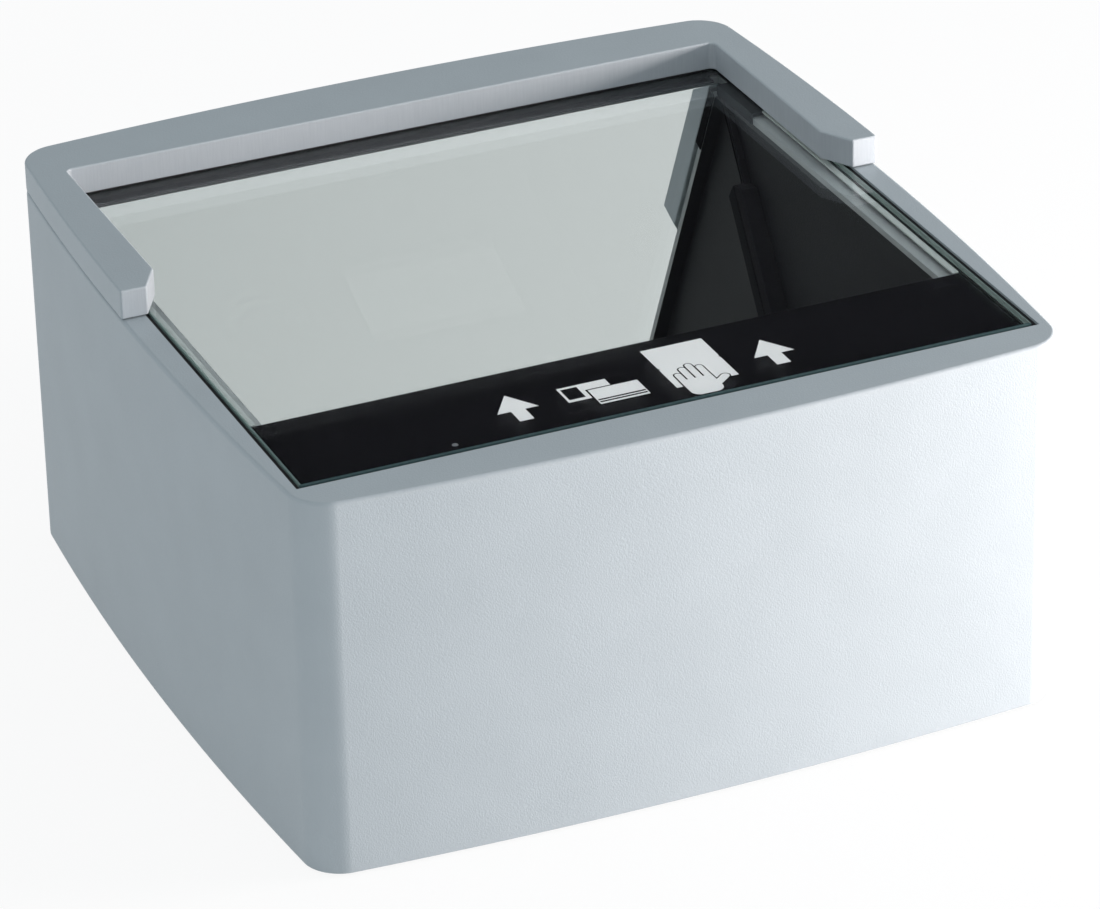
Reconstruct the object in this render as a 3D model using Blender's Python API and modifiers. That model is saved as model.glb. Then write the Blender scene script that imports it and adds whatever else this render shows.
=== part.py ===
"""Counter-top passport reader with a tilted mirror under its cover glass.

Metres, +Z up, X to the right, the user stands at -Y. The origin is the middle of the footprint, on the
surface that the feet stand on. A page lies face down on the glass, the mirror folds its picture forward,
and a camera behind the front bulkhead looks at the mirror.
"""

import math

import bmesh
import bpy
from mathutils import Vector

# Fits shared by every piece
fit_gap = 0.0003
cut_overrun = 0.0010
merge_distance = 0.00001

# Outside form
plan_depth = 0.1470
side_bow = 0.0033
corner_radius = 0.0070
shell_height = 0.0711
foot_reach = 0.0005
guide_rise = 0.0057
bow_steps = 8
corner_steps = 6

# Housing shell
shell_wall = 0.0028
rim_front_width = 0.0098
rim_edge_round = 0.0006
ledge_thickness = 0.0012
ledge_side_width = 0.0039
ledge_front_width = 0.0030
ledge_rear_width = 0.0020
ledge_side_stop = 0.0050
boss_inset = 0.0090
boss_radius = 0.0036
boss_hole_depth = 0.0090

# Guide frame
guide_clear_width = 0.1300
guide_arm_width = 0.0085
guide_bar_depth = 0.0141
guide_arm_length = 0.0519
arm_chamfer_across = 0.0035
arm_chamfer_along = 0.0062
guide_edge_round = 0.0004

# Guide frame screws and locating pegs
frame_screw_spread = 0.0450
frame_screw_radius = 0.00125
frame_screw_head_radius = 0.00225
frame_screw_head_height = 0.0016
frame_screw_bite = 0.0036
guide_peg_radius = 0.0008
guide_peg_length = 0.0032
guide_peg_from_tip = 0.0110

# Cover glass, gasket and printed film
glass_thickness = 0.0030
glass_edge_gap = 0.0009
glass_tuck = 0.0030
glass_chamfer = 0.0003
gasket_flange_width = 0.0020
gasket_flange_thickness = 0.0002
gasket_below_rim = 0.0008
film_thickness = 0.0002
film_side_margin = 0.0009
film_front_margin = 0.0003
film_past_bulkhead = 0.0028

# Mirror and what carries it
mirror_tilt = math.radians(57.4)
mirror_thickness = 0.0020
mirror_top_setback = 0.0020
mirror_below_glass = 0.0010
mirror_above_plate = 0.0084
carrier_plate = 0.0020
carrier_lip = 0.0012
carrier_hook = 0.0022
carrier_top_drop = 0.0045
stand_thickness = 0.0020
stand_inset = 0.0026
stand_height_share = 0.55
stand_foot_share = 0.82

# Foam light seals
top_seal_thickness = 0.0004
top_seal_reach = 0.0014
side_seal_width = 0.0035
side_seal_depth = 0.0030
side_seal_length_share = 0.70
corner_pad_length = 0.0152
corner_pad_margin = 0.0001

# Light box
baffle_to_wall = 0.0004
baffle_to_mirror = 0.0017
baffle_thickness = 0.0015
bulkhead_thickness = 0.0015
floor_thickness = 0.0012
floor_above_plate = 0.0024
floor_to_hook = 0.0020
cable_notch_margin = 0.0010

# Lamps
lamp_window_height = 0.0190
lamp_to_holder = 0.0100
reflector_wall = 0.0012
diffuser_thickness = 0.0012
diode_size = 0.0030
diode_thickness = 0.0012
diode_columns = 4
diode_rows = 3
lamp_board_thickness = 0.0010

# Front board and its mounting
front_board_to_boss = 0.0049
front_board_to_lamp = 0.0008
front_board_under_ledge = 0.0002
front_board_above_floor = 0.0058
front_board_spare_height = 0.0030
front_post_to_lamp = 0.0005
board_thickness = 0.0016
post_radius = 0.0026
front_post_inset = 0.0032
board_screw_radius = 0.0012
board_screw_head_radius = 0.0021
board_screw_head_height = 0.0013
board_screw_grip = 0.0050

# Camera
lens_in_aperture = 0.0008
sensor_size = 0.0100
sensor_thickness = 0.0016
sensor_clearance = 0.0015
sensor_to_bore = 0.0024
holder_base_size = 0.0200
holder_base_depth = 0.0095
holder_neck_wall = 0.0015
holder_neck_length = 0.0050
barrel_radius = 0.0060
barrel_wall = 0.0012
barrel_tail = 0.0100
barrel_head_overhang = 0.0010
barrel_head_length = 0.0022
barrel_mouth_step = 0.0008
barrel_mouth_depth = 0.0014
lock_ring_width = 0.0015
lock_ring_thickness = 0.0016
aperture_clearance = 0.0020
front_element_thickness = 0.0022
rear_element_thickness = 0.0018
element_crown = 0.0009
element_spacing = 0.0030
retainer_overlap = 0.0005
retainer_thickness = 0.0009
round_sides = 32

# Status light
status_light_from_side = 0.01765
light_pipe_radius = 0.0009
status_diode_size = 0.0030
status_diode_below_top = 0.0010

# Main board and what it carries
main_board_to_boss = 0.0029
main_board_to_carrier = 0.0027
main_board_from_wall = 0.0034
main_post_height = 0.0040
main_post_inset = 0.0045
processor_size = 0.0170
processor_thickness = 0.0020
memory_length = 0.0120
memory_width = 0.0080
memory_thickness = 0.0012
capacitor_radius = 0.0031
capacitor_height = 0.0080
component_spacing = 0.0055
component_row_share = 0.36

# Sockets in the rear wall
usb_x = -0.0200
usb_side_wall = 0.00175
usb_cover_wall = 0.00155
usb_length = 0.0160
usb_mouth_width = 0.0085
usb_mouth_height = 0.0078
usb_mouth_depth = 0.0120
usb_tongue_width = 0.0056
usb_tongue_height = 0.0032
usb_tongue_setback = 0.0026
jack_x = 0.0150
jack_width = 0.0090
jack_height = 0.0110
jack_length = 0.0140
jack_bore_radius = 0.00325
jack_bore_depth = 0.0100
jack_pin_radius = 0.00105
jack_pin_setback = 0.0026
socket_into_wall = 0.0015

# Flat cable
cable_width = 0.0140
cable_thickness = 0.0003
cable_above_plate = 0.0012
cable_socket_side_wall = 0.0015
cable_socket_depth = 0.0030
cable_socket_height = 0.0034
main_cable_socket_length = 0.0060

# Base
plate_thickness = 0.0020
plate_recess = 0.0011
base_screw_radius = 0.00145
base_screw_head_radius = 0.00275
base_screw_head_height = 0.0010
base_screw_reach = 0.0060
foot_radius = 0.0060
foot_inset = 0.0250

# Overall width
plan_width = guide_clear_width + 2 * guide_arm_width

# Levels, counted up from the surface that the feet stand on
skirt_z = foot_reach
rim_z = skirt_z + shell_height
guide_top_z = rim_z + guide_rise
glass_low_z = rim_z - glass_thickness
film_top_z = glass_low_z - fit_gap
film_low_z = film_top_z - film_thickness
flange_top_z = film_low_z - fit_gap
flange_low_z = flange_top_z - gasket_flange_thickness
ledge_top_z = flange_low_z - fit_gap
ledge_low_z = ledge_top_z - ledge_thickness
plate_low_z = skirt_z + plate_recess
plate_top_z = plate_low_z + plate_thickness
on_plate_z = plate_top_z + fit_gap
under_deck_z = ledge_low_z - fit_gap
floor_low_z = plate_top_z + floor_above_plate
floor_top_z = floor_low_z + floor_thickness

# Places across the plan
guide_half = guide_clear_width / 2
guide_back_y = plan_depth / 2 - guide_bar_depth
guide_tip_y = guide_back_y - guide_arm_length
glass_half = guide_half + glass_tuck
glass_rear_y = guide_back_y + glass_tuck
glass_front_y = -plan_depth / 2 + rim_front_width + glass_edge_gap
well_half = glass_half + glass_edge_gap
well_rear_y = glass_rear_y + glass_edge_gap
well_front_y = glass_front_y - glass_edge_gap
flange_half = well_half - fit_gap - gasket_flange_width
window_half = glass_half - ledge_side_width
window_rear_y = glass_rear_y - ledge_rear_width
window_front_y = glass_front_y + ledge_front_width
side_ledge_end_y = window_rear_y - ledge_side_stop
boss_x = plan_width / 2 - boss_inset
boss_y = plan_depth / 2 - boss_inset
film_front_y = glass_front_y + film_front_margin

# Light box width, inside the bowed walls at the mirror's top edge, and the mirror between its sides
mirror_top_y = guide_back_y - mirror_top_setback
wall_sag = side_bow * (2 * mirror_top_y / plan_depth) ** 2
light_box_out = plan_width / 2 - shell_wall - wall_sag - baffle_to_wall
light_box_half = light_box_out - baffle_thickness
mirror_half = light_box_half - baffle_to_mirror

# Mirror line, from its lowest front edge up the slope
mirror_top_z = glass_low_z - mirror_below_glass
mirror_low_z = plate_top_z + mirror_above_plate
mirror_rise = mirror_top_z - mirror_low_z
mirror_low_y = mirror_top_y - mirror_rise / math.tan(mirror_tilt)
mirror_length = mirror_rise / math.sin(mirror_tilt)
carrier_back = mirror_thickness + fit_gap + carrier_plate
carrier_end = fit_gap + carrier_lip
carrier_foot_y = mirror_low_y + carrier_back * math.sin(mirror_tilt) - carrier_end * math.cos(mirror_tilt)

# Camera, counted from the front board's face along the lens axis
bore_radius = barrel_radius + fit_gap
neck_radius = bore_radius + holder_neck_wall
head_radius = barrel_radius + barrel_head_overhang
barrel_bore_radius = barrel_radius - barrel_wall
barrel_mouth_radius = barrel_bore_radius + barrel_mouth_step
element_radius = barrel_bore_radius - fit_gap
lock_ring_start = holder_base_depth + holder_neck_length + fit_gap
barrel_head_start = lock_ring_start + lock_ring_thickness + fit_gap
barrel_end = barrel_head_start + barrel_head_length

# Front board and bulkhead places, counted back from the window's front edge
front_board_face_y = window_front_y - front_board_under_ledge
bulkhead_face_y = front_board_face_y + fit_gap + barrel_end + lens_in_aperture
bulkhead_front_y = bulkhead_face_y - bulkhead_thickness
film_rear_y = bulkhead_face_y + film_past_bulkhead
front_board_half = boss_x - boss_radius - front_board_to_boss
lamp_near_x = holder_base_size / 2 + lamp_to_holder
lamp_far_x = front_board_half - front_board_to_lamp - reflector_wall
lamp_middle_x = (lamp_near_x + lamp_far_x) / 2
lamp_window_width = lamp_far_x - lamp_near_x
lamp_outer_x = lamp_window_width / 2 + reflector_wall
lamp_outer_z = lamp_window_height / 2 + reflector_wall
front_board_low_z = floor_top_z + front_board_above_floor
front_board_below_lens = lamp_outer_z + front_post_to_lamp + post_radius + front_post_inset
lens_axis_z = front_board_low_z + front_board_below_lens
front_board_top_z = lens_axis_z + front_board_below_lens + front_board_spare_height

# Main board places
main_board_low_z = plate_top_z + main_post_height + fit_gap
main_board_top_z = main_board_low_z + board_thickness
on_board_z = main_board_top_z + fit_gap
main_board_rear_y = plan_depth / 2 - shell_wall - main_board_from_wall
main_board_front_y = carrier_foot_y + main_board_to_carrier
main_board_half = boss_x - boss_radius - main_board_to_boss
socket_face_y = plan_depth / 2 - shell_wall + socket_into_wall
usb_width = usb_mouth_width + 2 * usb_side_wall
usb_height = usb_mouth_height + 2 * usb_cover_wall


def new_collection(name):
    """Makes a collection of that name in the scene."""
    made = bpy.data.collections.new(name)
    bpy.context.scene.collection.children.link(made)
    return made


def move_to(obj, collection):
    """Keeps an object in one collection only."""
    for old in list(obj.users_collection):
        old.objects.unlink(obj)
    collection.objects.link(obj)


def make_material(name, colour, roughness, metallic=0.0, alpha=1.0):
    """A Principled material with one colour."""
    made = bpy.data.materials.new(name)
    made.use_nodes = True
    shader = made.node_tree.nodes["Principled BSDF"]
    shader.inputs["Base Color"].default_value = (*colour, 1.0)
    shader.inputs["Roughness"].default_value = roughness
    shader.inputs["Metallic"].default_value = metallic
    shader.inputs["Alpha"].default_value = alpha
    return made


def apply_transform(obj):
    """Puts rotation and scale into the mesh, so that modifiers work in real lengths."""
    bpy.ops.object.select_all(action="DESELECT")
    obj.select_set(True)
    bpy.context.view_layer.objects.active = obj
    bpy.ops.object.transform_apply(location=False, rotation=True, scale=True)


def box(name, low, high):
    """A box between two corners, with its origin in its middle."""
    low = Vector(low)
    high = Vector(high)
    bpy.ops.mesh.primitive_cube_add(size=1, location=(low + high) / 2)
    obj = bpy.context.object
    obj.name = name
    obj.scale = high - low
    apply_transform(obj)
    return obj


def drum(name, radius, start, end, sides=round_sides):
    """A cylinder from one point to another, along X, Y or Z."""
    start = Vector(start)
    end = Vector(end)
    way = end - start
    bpy.ops.mesh.primitive_cylinder_add(
        vertices=sides, radius=radius, depth=way.length, location=(start + end) / 2
    )
    obj = bpy.context.object
    obj.name = name
    obj.rotation_euler = way.to_track_quat("Z", "Y").to_euler()
    apply_transform(obj)
    round_off(obj)
    return obj


def round_off(obj):
    """Smooth shading with sharp edges kept."""
    obj.data.shade_smooth()
    obj.data.set_sharp_from_angle(angle=math.radians(35))


def slab(name, outlines, low, high, across="Z"):
    """A flat outline given thickness across an axis; outlines after the first are holes in it."""
    curve = bpy.data.curves.new(name, "CURVE")
    curve.dimensions = "2D"
    curve.fill_mode = "BOTH"
    curve.extrude = (high - low) / 2
    for outline in outlines:
        spline = curve.splines.new("POLY")
        spline.points.add(len(outline) - 1)
        for point, (x, y) in zip(spline.points, outline):
            point.co = (x, y, 0.0, 1.0)
        spline.use_cyclic_u = True
    drawn = bpy.data.objects.new(name, curve)
    bpy.context.scene.collection.objects.link(drawn)
    middle = (low + high) / 2
    if across == "X":
        drawn.location = (middle, 0, 0)
        drawn.rotation_euler = (math.pi / 2, 0, math.pi / 2)
    elif across == "Y":
        drawn.location = (0, middle, 0)
        drawn.rotation_euler = (math.pi / 2, 0, 0)
    else:
        drawn.location = (0, 0, middle)
    bpy.context.view_layer.update()
    graph = bpy.context.evaluated_depsgraph_get()
    mesh = bpy.data.meshes.new_from_object(drawn.evaluated_get(graph))
    shape = bmesh.new()
    shape.from_mesh(mesh)
    bmesh.ops.remove_doubles(shape, verts=shape.verts, dist=merge_distance)
    bmesh.ops.recalc_face_normals(shape, faces=shape.faces)
    shape.to_mesh(mesh)
    shape.free()
    obj = bpy.data.objects.new(name, mesh)
    obj.matrix_world = drawn.matrix_world.copy()
    bpy.data.objects.remove(drawn)
    obj.name = name
    bpy.context.scene.collection.objects.link(obj)
    apply_transform(obj)
    return obj


def turned(name, profile, closed=False, sides=round_sides):
    """A shape turned round Z from (radius, height) points that run down its outer side."""
    mesh = bpy.data.meshes.new(name)
    edges = [(i, i + 1) for i in range(len(profile) - 1)]
    if closed:
        edges.append((len(profile) - 1, 0))
    mesh.from_pydata([(radius, 0.0, height) for radius, height in profile], edges, [])
    obj = bpy.data.objects.new(name, mesh)
    bpy.context.scene.collection.objects.link(obj)
    screw = obj.modifiers.new("turn", "SCREW")
    screw.steps = sides
    screw.render_steps = sides
    screw.use_merge_vertices = True
    screw.merge_threshold = merge_distance
    screw.use_smooth_shade = True
    return obj


def soften(obj, width, segments=2, angle=50):
    """Rounds the sharp edges of a piece."""
    bevel = obj.modifiers.new("edges", "BEVEL")
    bevel.width = width
    bevel.segments = segments
    bevel.limit_method = "ANGLE"
    bevel.angle_limit = math.radians(angle)
    return obj


def combine(obj, tool, operation):
    """Cuts the tool out of a piece, or joins it on, and hides the tool."""
    change = obj.modifiers.new(operation.lower(), "BOOLEAN")
    change.operation = operation
    change.solver = "EXACT"
    change.object = tool
    tool.hide_render = True
    tool.display_type = "WIRE"
    move_to(tool, cutters)
    return obj


def cut(obj, tool):
    """Cuts the tool's shape out of a piece."""
    return combine(obj, tool, "DIFFERENCE")


def add_on(obj, tool):
    """Joins the tool's shape to a piece."""
    return combine(obj, tool, "UNION")


def placed_copies(obj, places, surface):
    """One named piece at each of the places, all of one mesh; places maps names to locations."""
    for name, place in places.items():
        twin = obj.copy()
        bpy.context.scene.collection.objects.link(twin)
        twin.location = place
        finished(twin, name, surface)
    bpy.data.objects.remove(obj)


def finished(obj, name, surface, parent=None):
    """Names a piece, gives it its material and puts it among the parts."""
    obj.name = name
    obj.data.materials.clear()
    obj.data.materials.append(surface)
    move_to(obj, parts)
    if parent:
        obj.parent = parent
    return obj


def frame_empty(name, location, turn_x):
    """An empty that carries pieces modelled along its own axes."""
    empty = bpy.data.objects.new(name, None)
    empty.location = location
    empty.rotation_euler = (turn_x, 0, 0)
    parts.objects.link(empty)
    bpy.context.view_layer.update()
    return empty


def four_corners(x, y, z):
    """The same point in all four quarters of the plan, by the quarter's name."""
    return {
        "front_left": (-x, -y, z),
        "front_right": (x, -y, z),
        "rear_left": (-x, y, z),
        "rear_right": (x, y, z),
    }


def bow_radius(chord, bow):
    """Radius of an arc from its chord and its height."""
    return (chord * chord / 4 + bow * bow) / (2 * bow)


def plan_outline(inset=0.0):
    """The bowed square seen from above, drawn in by an inset on all sides."""
    side_radius = bow_radius(plan_depth, side_bow)
    end_radius = bow_radius(plan_width, side_bow)
    side_centre = Vector((plan_width / 2 - side_radius, 0))
    end_centre = Vector((0, plan_depth / 2 - end_radius))
    corner = arc_meeting(
        side_centre, side_radius - corner_radius, end_centre, end_radius - corner_radius
    )
    side_turn = math.atan2(corner.y - side_centre.y, corner.x - side_centre.x)
    end_turn = math.atan2(corner.y - end_centre.y, corner.x - end_centre.x)
    quarter = []
    half_bow = bow_steps // 2
    for i in range(half_bow):
        turn = side_turn * i / half_bow
        reach = side_radius - inset
        quarter.append(side_centre + reach * Vector((math.cos(turn), math.sin(turn))))
    for i in range(corner_steps + 1):
        turn = side_turn + (end_turn - side_turn) * i / corner_steps
        reach = corner_radius - inset
        quarter.append(corner + reach * Vector((math.cos(turn), math.sin(turn))))
    for i in range(1, half_bow + 1):
        turn = end_turn + (math.pi / 2 - end_turn) * i / half_bow
        reach = end_radius - inset
        quarter.append(end_centre + reach * Vector((math.cos(turn), math.sin(turn))))
    upper = [(p.x, p.y) for p in quarter]
    upper += [(-x, y) for x, y in reversed(upper[:-1])]
    return upper + [(x, -y) for x, y in reversed(upper[1:-1])]


def arc_meeting(centre_a, radius_a, centre_b, radius_b):
    """Where two circles cross in the quarter with both coordinates above zero."""
    way = centre_b - centre_a
    span = way.length
    along = (radius_a * radius_a - radius_b * radius_b + span * span) / (2 * span)
    off = math.sqrt(radius_a * radius_a - along * along)
    foot = centre_a + way * (along / span)
    side = Vector((way.y, -way.x)) / span
    found = [foot + side * off, foot - side * off]
    return max(found, key=lambda p: p.x + p.y)


def pan_screw(head_radius, head_height, shank_radius, shank_length, sides=16):
    """A screw on Z with its head below zero and its shank above it."""
    profile = [
        (0.0, shank_length),
        (shank_radius, shank_length),
        (shank_radius, 0.0),
        (head_radius, 0.0),
        (head_radius, -head_height),
        (0.0, -head_height),
    ]
    return turned("screw", profile, sides=sides)


def build_housing():
    """The moulded shell: bowed walls, top deck with the glass well and ledge, and screw bosses."""
    shell = slab("housing", [plan_outline()], skirt_z, rim_z)
    soften(shell, rim_edge_round)
    cut(shell, slab("cavity", [plan_outline(shell_wall)], skirt_z - cut_overrun, ledge_low_z))
    boss_low_z = plate_top_z + fit_gap
    boss_top_z = ledge_low_z + ledge_thickness / 2
    hole_radius = base_screw_radius + fit_gap
    for place in four_corners(boss_x, boss_y, boss_low_z).values():
        top = (place[0], place[1], boss_top_z)
        add_on(shell, drum("boss", boss_radius, place, top, sides=24))
    low = (-well_half, well_front_y, ledge_top_z)
    cut(shell, box("glass_well", low, (well_half, well_rear_y, rim_z + cut_overrun)))
    low = (-window_half, window_front_y, ledge_low_z - cut_overrun)
    cut(shell, box("window", low, (window_half, window_rear_y, ledge_top_z + cut_overrun)))
    low = (-flange_half, side_ledge_end_y, ledge_low_z - cut_overrun)
    cut(shell, box("mirror_window", low, (flange_half, window_rear_y, ledge_top_z + cut_overrun)))
    for x, y, z in four_corners(boss_x, boss_y, boss_low_z).values():
        start = (x, y, z - cut_overrun)
        cut(shell, drum("boss_hole", hole_radius, start, (x, y, z + boss_hole_depth), sides=16))
    for x, y in frame_screw_places().values():
        start = (x, y, ledge_low_z - cut_overrun)
        hole = drum("frame_hole", frame_screw_radius + fit_gap, start, (x, y, rim_z + cut_overrun), 16)
        cut(shell, hole)
    for x, y in guide_peg_places():
        start = (x, y, rim_z - guide_peg_length - fit_gap)
        cut(shell, drum("peg_hole", guide_peg_radius + fit_gap, start, (x, y, rim_z + cut_overrun), 12))
    wall_in = plan_depth / 2 - shell_wall - side_bow
    wall_out = plan_depth / 2 + cut_overrun
    for x, width, height in socket_windows():
        low = (x - width / 2 - fit_gap, wall_in, main_board_top_z)
        high = (x + width / 2 + fit_gap, wall_out, on_board_z + height + fit_gap)
        cut(shell, box("socket_window", low, high))
    return finished(shell, "housing", paint)


def socket_windows():
    """Middle, width and height of each socket in the rear wall."""
    return [(usb_x, usb_width, usb_height), (jack_x, jack_width, jack_height)]


def frame_screw_places():
    """Screws that hold the guide frame, under its rear bar."""
    y = (guide_back_y + plan_depth / 2) / 2
    return {"left": (-frame_screw_spread, y), "right": (frame_screw_spread, y)}


def guide_peg_places():
    """Moulded pegs that keep the tips of the frame's arms in line."""
    x = (well_half + plan_width / 2) / 2
    y = guide_tip_y + guide_peg_from_tip
    return [(-x, y), (x, y)]


def build_guide_frame():
    """The U-shaped frame on the rim: its outer side is flush with the shell."""
    low_z = rim_z + fit_gap
    frame = slab("guide_frame", [plan_outline()], low_z, guide_top_z)
    soften(frame, guide_edge_round)
    front = -plan_depth / 2 - cut_overrun
    high_z = guide_top_z + cut_overrun
    low = (-plan_width / 2 - cut_overrun, front, low_z - cut_overrun)
    cut(frame, box("front_half", low, (plan_width / 2 + cut_overrun, guide_tip_y, high_z)))
    bay = [
        (-guide_half, guide_back_y),
        (-guide_half, guide_tip_y + arm_chamfer_along),
        (-guide_half - arm_chamfer_across, guide_tip_y),
        (-guide_half - arm_chamfer_across, front),
        (guide_half + arm_chamfer_across, front),
        (guide_half + arm_chamfer_across, guide_tip_y),
        (guide_half, guide_tip_y + arm_chamfer_along),
        (guide_half, guide_back_y),
    ]
    cut(frame, slab("bay", [bay], low_z - cut_overrun, high_z))
    for x, y in frame_screw_places().values():
        start = (x, y, low_z - cut_overrun)
        end = (x, y, low_z + frame_screw_bite + fit_gap)
        cut(frame, drum("screw_hole", frame_screw_radius + fit_gap, start, end, 16))
    for x, y in guide_peg_places():
        start = (x, y, rim_z - guide_peg_length)
        add_on(frame, drum("peg", guide_peg_radius, start, (x, y, low_z + guide_peg_radius), 12))
    return finished(frame, "guide_frame", paint)


def build_frame_screws():
    """Screws up through the deck into the frame's rear bar."""
    seat_z = ledge_low_z - fit_gap
    length = rim_z + fit_gap + frame_screw_bite - seat_z
    screw = pan_screw(frame_screw_head_radius, frame_screw_head_height, frame_screw_radius, length)
    places = {"frame_screw_" + word: (x, y, seat_z) for word, (x, y) in frame_screw_places().items()}
    placed_copies(screw, places, steel)


def build_glass():
    """Cover glass with ground edges, the gasket round it and the printed film below its front."""
    pane = box("cover_glass", (-glass_half, glass_front_y, glass_low_z), (glass_half, glass_rear_y, rim_z))
    soften(pane, glass_chamfer, segments=1)
    finished(pane, "cover_glass", clear_glass)
    outer_half = well_half - fit_gap
    low = (-outer_half, well_front_y + fit_gap, flange_low_z)
    high = (outer_half, well_rear_y - fit_gap, rim_z - gasket_below_rim)
    gasket = box("glass_gasket", low, high)
    low = (-glass_half - fit_gap, glass_front_y - fit_gap, flange_top_z)
    high = (glass_half + fit_gap, glass_rear_y + fit_gap, rim_z)
    cut(gasket, box("glass_seat", low, high))
    low = (-flange_half, window_front_y, flange_low_z - cut_overrun)
    high = (flange_half, window_rear_y + fit_gap, rim_z)
    cut(gasket, box("gasket_opening", low, high))
    finished(gasket, "glass_gasket", black_rubber)
    low = (-glass_half + film_side_margin, film_front_y, film_low_z)
    high = (glass_half - film_side_margin, film_rear_y, film_top_z)
    finished(box("mask_film", low, high), "mask_film", black_print)


def build_mirror():
    """The tilted mirror, its carrier and the stands behind it, and the foam that keeps stray light out."""
    slope = frame_empty("mirror_slope", (0, mirror_low_y, mirror_low_z), mirror_tilt)
    half = mirror_half
    plate = box("mirror", (-half, 0, -mirror_thickness), (half, mirror_length, 0))
    finished(plate, "mirror", mirror_silver, slope)
    front = -mirror_thickness - fit_gap
    back = -carrier_back
    seat = -fit_gap
    low = -carrier_end
    hook_face = fit_gap + carrier_lip
    top = mirror_length - carrier_top_drop
    outline = [
        (low, back),
        (low, hook_face),
        (carrier_hook, hook_face),
        (carrier_hook, fit_gap),
        (seat, fit_gap),
        (seat, front),
        (top, front),
        (top, back),
    ]
    carrier = slab("mirror_carrier", [outline], -half, half, across="X")
    finished(carrier, "mirror_carrier", black_plastic, slope)
    build_stands()
    build_side_seals(slope)
    build_flat_seals()


def build_stands():
    """Two triangular cheeks that carry the mirror's carrier on the base plate."""
    sine = math.sin(mirror_tilt)
    cosine = math.cos(mirror_tilt)
    behind = -carrier_back - fit_gap
    start = fit_gap

    def on_back(along):
        return (
            mirror_low_y + along * cosine - behind * sine,
            mirror_low_z + along * sine + behind * cosine,
        )

    low_y, low_z = on_back(start)
    high_y, high_z = on_back(mirror_length * stand_height_share)
    rear_y = low_y + (high_y - low_y) * (1 + stand_foot_share)
    outline = [(low_y, low_z), (low_y, on_plate_z), (rear_y, on_plate_z), (high_y, high_z)]
    half = mirror_half - stand_inset
    right = slab("stand", [outline], half - stand_thickness, half, across="X")
    finished(right, "right_mirror_stand", zinc_steel)
    left = slab("stand", [outline], -half, -half + stand_thickness, across="X")
    finished(left, "left_mirror_stand", zinc_steel)


def build_side_seals(slope):
    """Foam strips in the corners between the mirror and the side baffles, over its lower part."""
    out = light_box_half - fit_gap
    near = out - side_seal_width
    low = carrier_hook + fit_gap
    high = mirror_length * side_seal_length_share
    top = fit_gap + side_seal_depth
    finished(box("strip", (near, low, fit_gap), (out, high, top)), "right_mirror_seal", black_foam, slope)
    finished(box("strip", (-out, low, fit_gap), (-near, high, top)), "left_mirror_seal", black_foam, slope)


def build_flat_seals():
    """Foam strip over the mirror's top edge, and two pads on the rear ends of the side ledges."""
    top_z = glass_low_z - fit_gap
    half = window_half
    low = (-half, mirror_top_y - top_seal_reach, top_z - top_seal_thickness)
    strip = box("mirror_top_seal", low, (half, window_rear_y - fit_gap, top_z))
    finished(strip, "mirror_top_seal", black_foam)
    low_z = ledge_top_z + fit_gap
    near = window_half + corner_pad_margin
    far = flange_half - fit_gap
    front_y = side_ledge_end_y - corner_pad_length
    right = box("pad", (near, front_y, low_z), (far, side_ledge_end_y, top_z))
    finished(right, "right_ledge_pad", black_foam)
    left = box("pad", (-far, front_y, low_z), (-near, side_ledge_end_y, top_z))
    finished(left, "left_ledge_pad", black_foam)


def build_light_box():
    """Side baffles, floor and front bulkhead of the dark chamber below the glass."""
    front_y = bulkhead_face_y + fit_gap
    for name, low_x, high_x in (
        ("left_baffle", -light_box_out, -light_box_half),
        ("right_baffle", light_box_half, light_box_out),
    ):
        panel = box(name, (low_x, front_y, on_plate_z), (high_x, mirror_top_y, under_deck_z))
        finished(panel, name, charcoal_plastic)
    floor_half = light_box_half - fit_gap
    hook_y = mirror_low_y - math.sin(mirror_tilt) * (fit_gap + carrier_lip)
    high = (floor_half, hook_y - floor_to_hook, floor_top_z)
    floor = box("floor_panel", (-floor_half, front_y, floor_low_z), high)
    finished(floor, "floor_panel", charcoal_plastic)
    build_bulkhead()


def build_bulkhead():
    """The wall under the printed band: lens opening, lamp windows, cable notch and board posts."""
    neck_half = window_half - fit_gap
    top_z = film_low_z - fit_gap
    notch_half = cable_width / 2 + cable_notch_margin
    notch_z = floor_low_z
    outline = [
        (-light_box_out, on_plate_z),
        (-notch_half, on_plate_z),
        (-notch_half, notch_z),
        (notch_half, notch_z),
        (notch_half, on_plate_z),
        (light_box_out, on_plate_z),
        (light_box_out, under_deck_z),
        (neck_half, under_deck_z),
        (neck_half, top_z),
        (-neck_half, top_z),
        (-neck_half, under_deck_z),
        (-light_box_out, under_deck_z),
    ]
    wall = slab("front_bulkhead", [outline], bulkhead_front_y, bulkhead_face_y, across="Y")
    start = (0, bulkhead_front_y - cut_overrun, lens_axis_z)
    end = (0, bulkhead_face_y + cut_overrun, lens_axis_z)
    cut(wall, drum("aperture", head_radius + aperture_clearance, start, end))
    for side in (-1, 1):
        middle = side * lamp_middle_x
        low = (
            middle - lamp_window_width / 2,
            bulkhead_front_y - cut_overrun,
            lens_axis_z - lamp_window_height / 2,
        )
        high = (
            middle + lamp_window_width / 2,
            bulkhead_face_y + cut_overrun,
            lens_axis_z + lamp_window_height / 2,
        )
        cut(wall, box("lamp_window", low, high))
    post_end_y = front_board_face_y + fit_gap
    for x, z in front_post_places():
        inside_y = bulkhead_face_y - bulkhead_thickness / 2
        add_on(wall, drum("post", post_radius, (x, post_end_y, z), (x, inside_y, z), 12))
    for x, z in front_post_places():
        start = (x, post_end_y - cut_overrun, z)
        end = (x, post_end_y + board_screw_grip + fit_gap, z)
        cut(wall, drum("screw_hole", board_screw_radius + fit_gap, start, end, 12))
    finished(wall, "front_bulkhead", charcoal_plastic)


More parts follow.
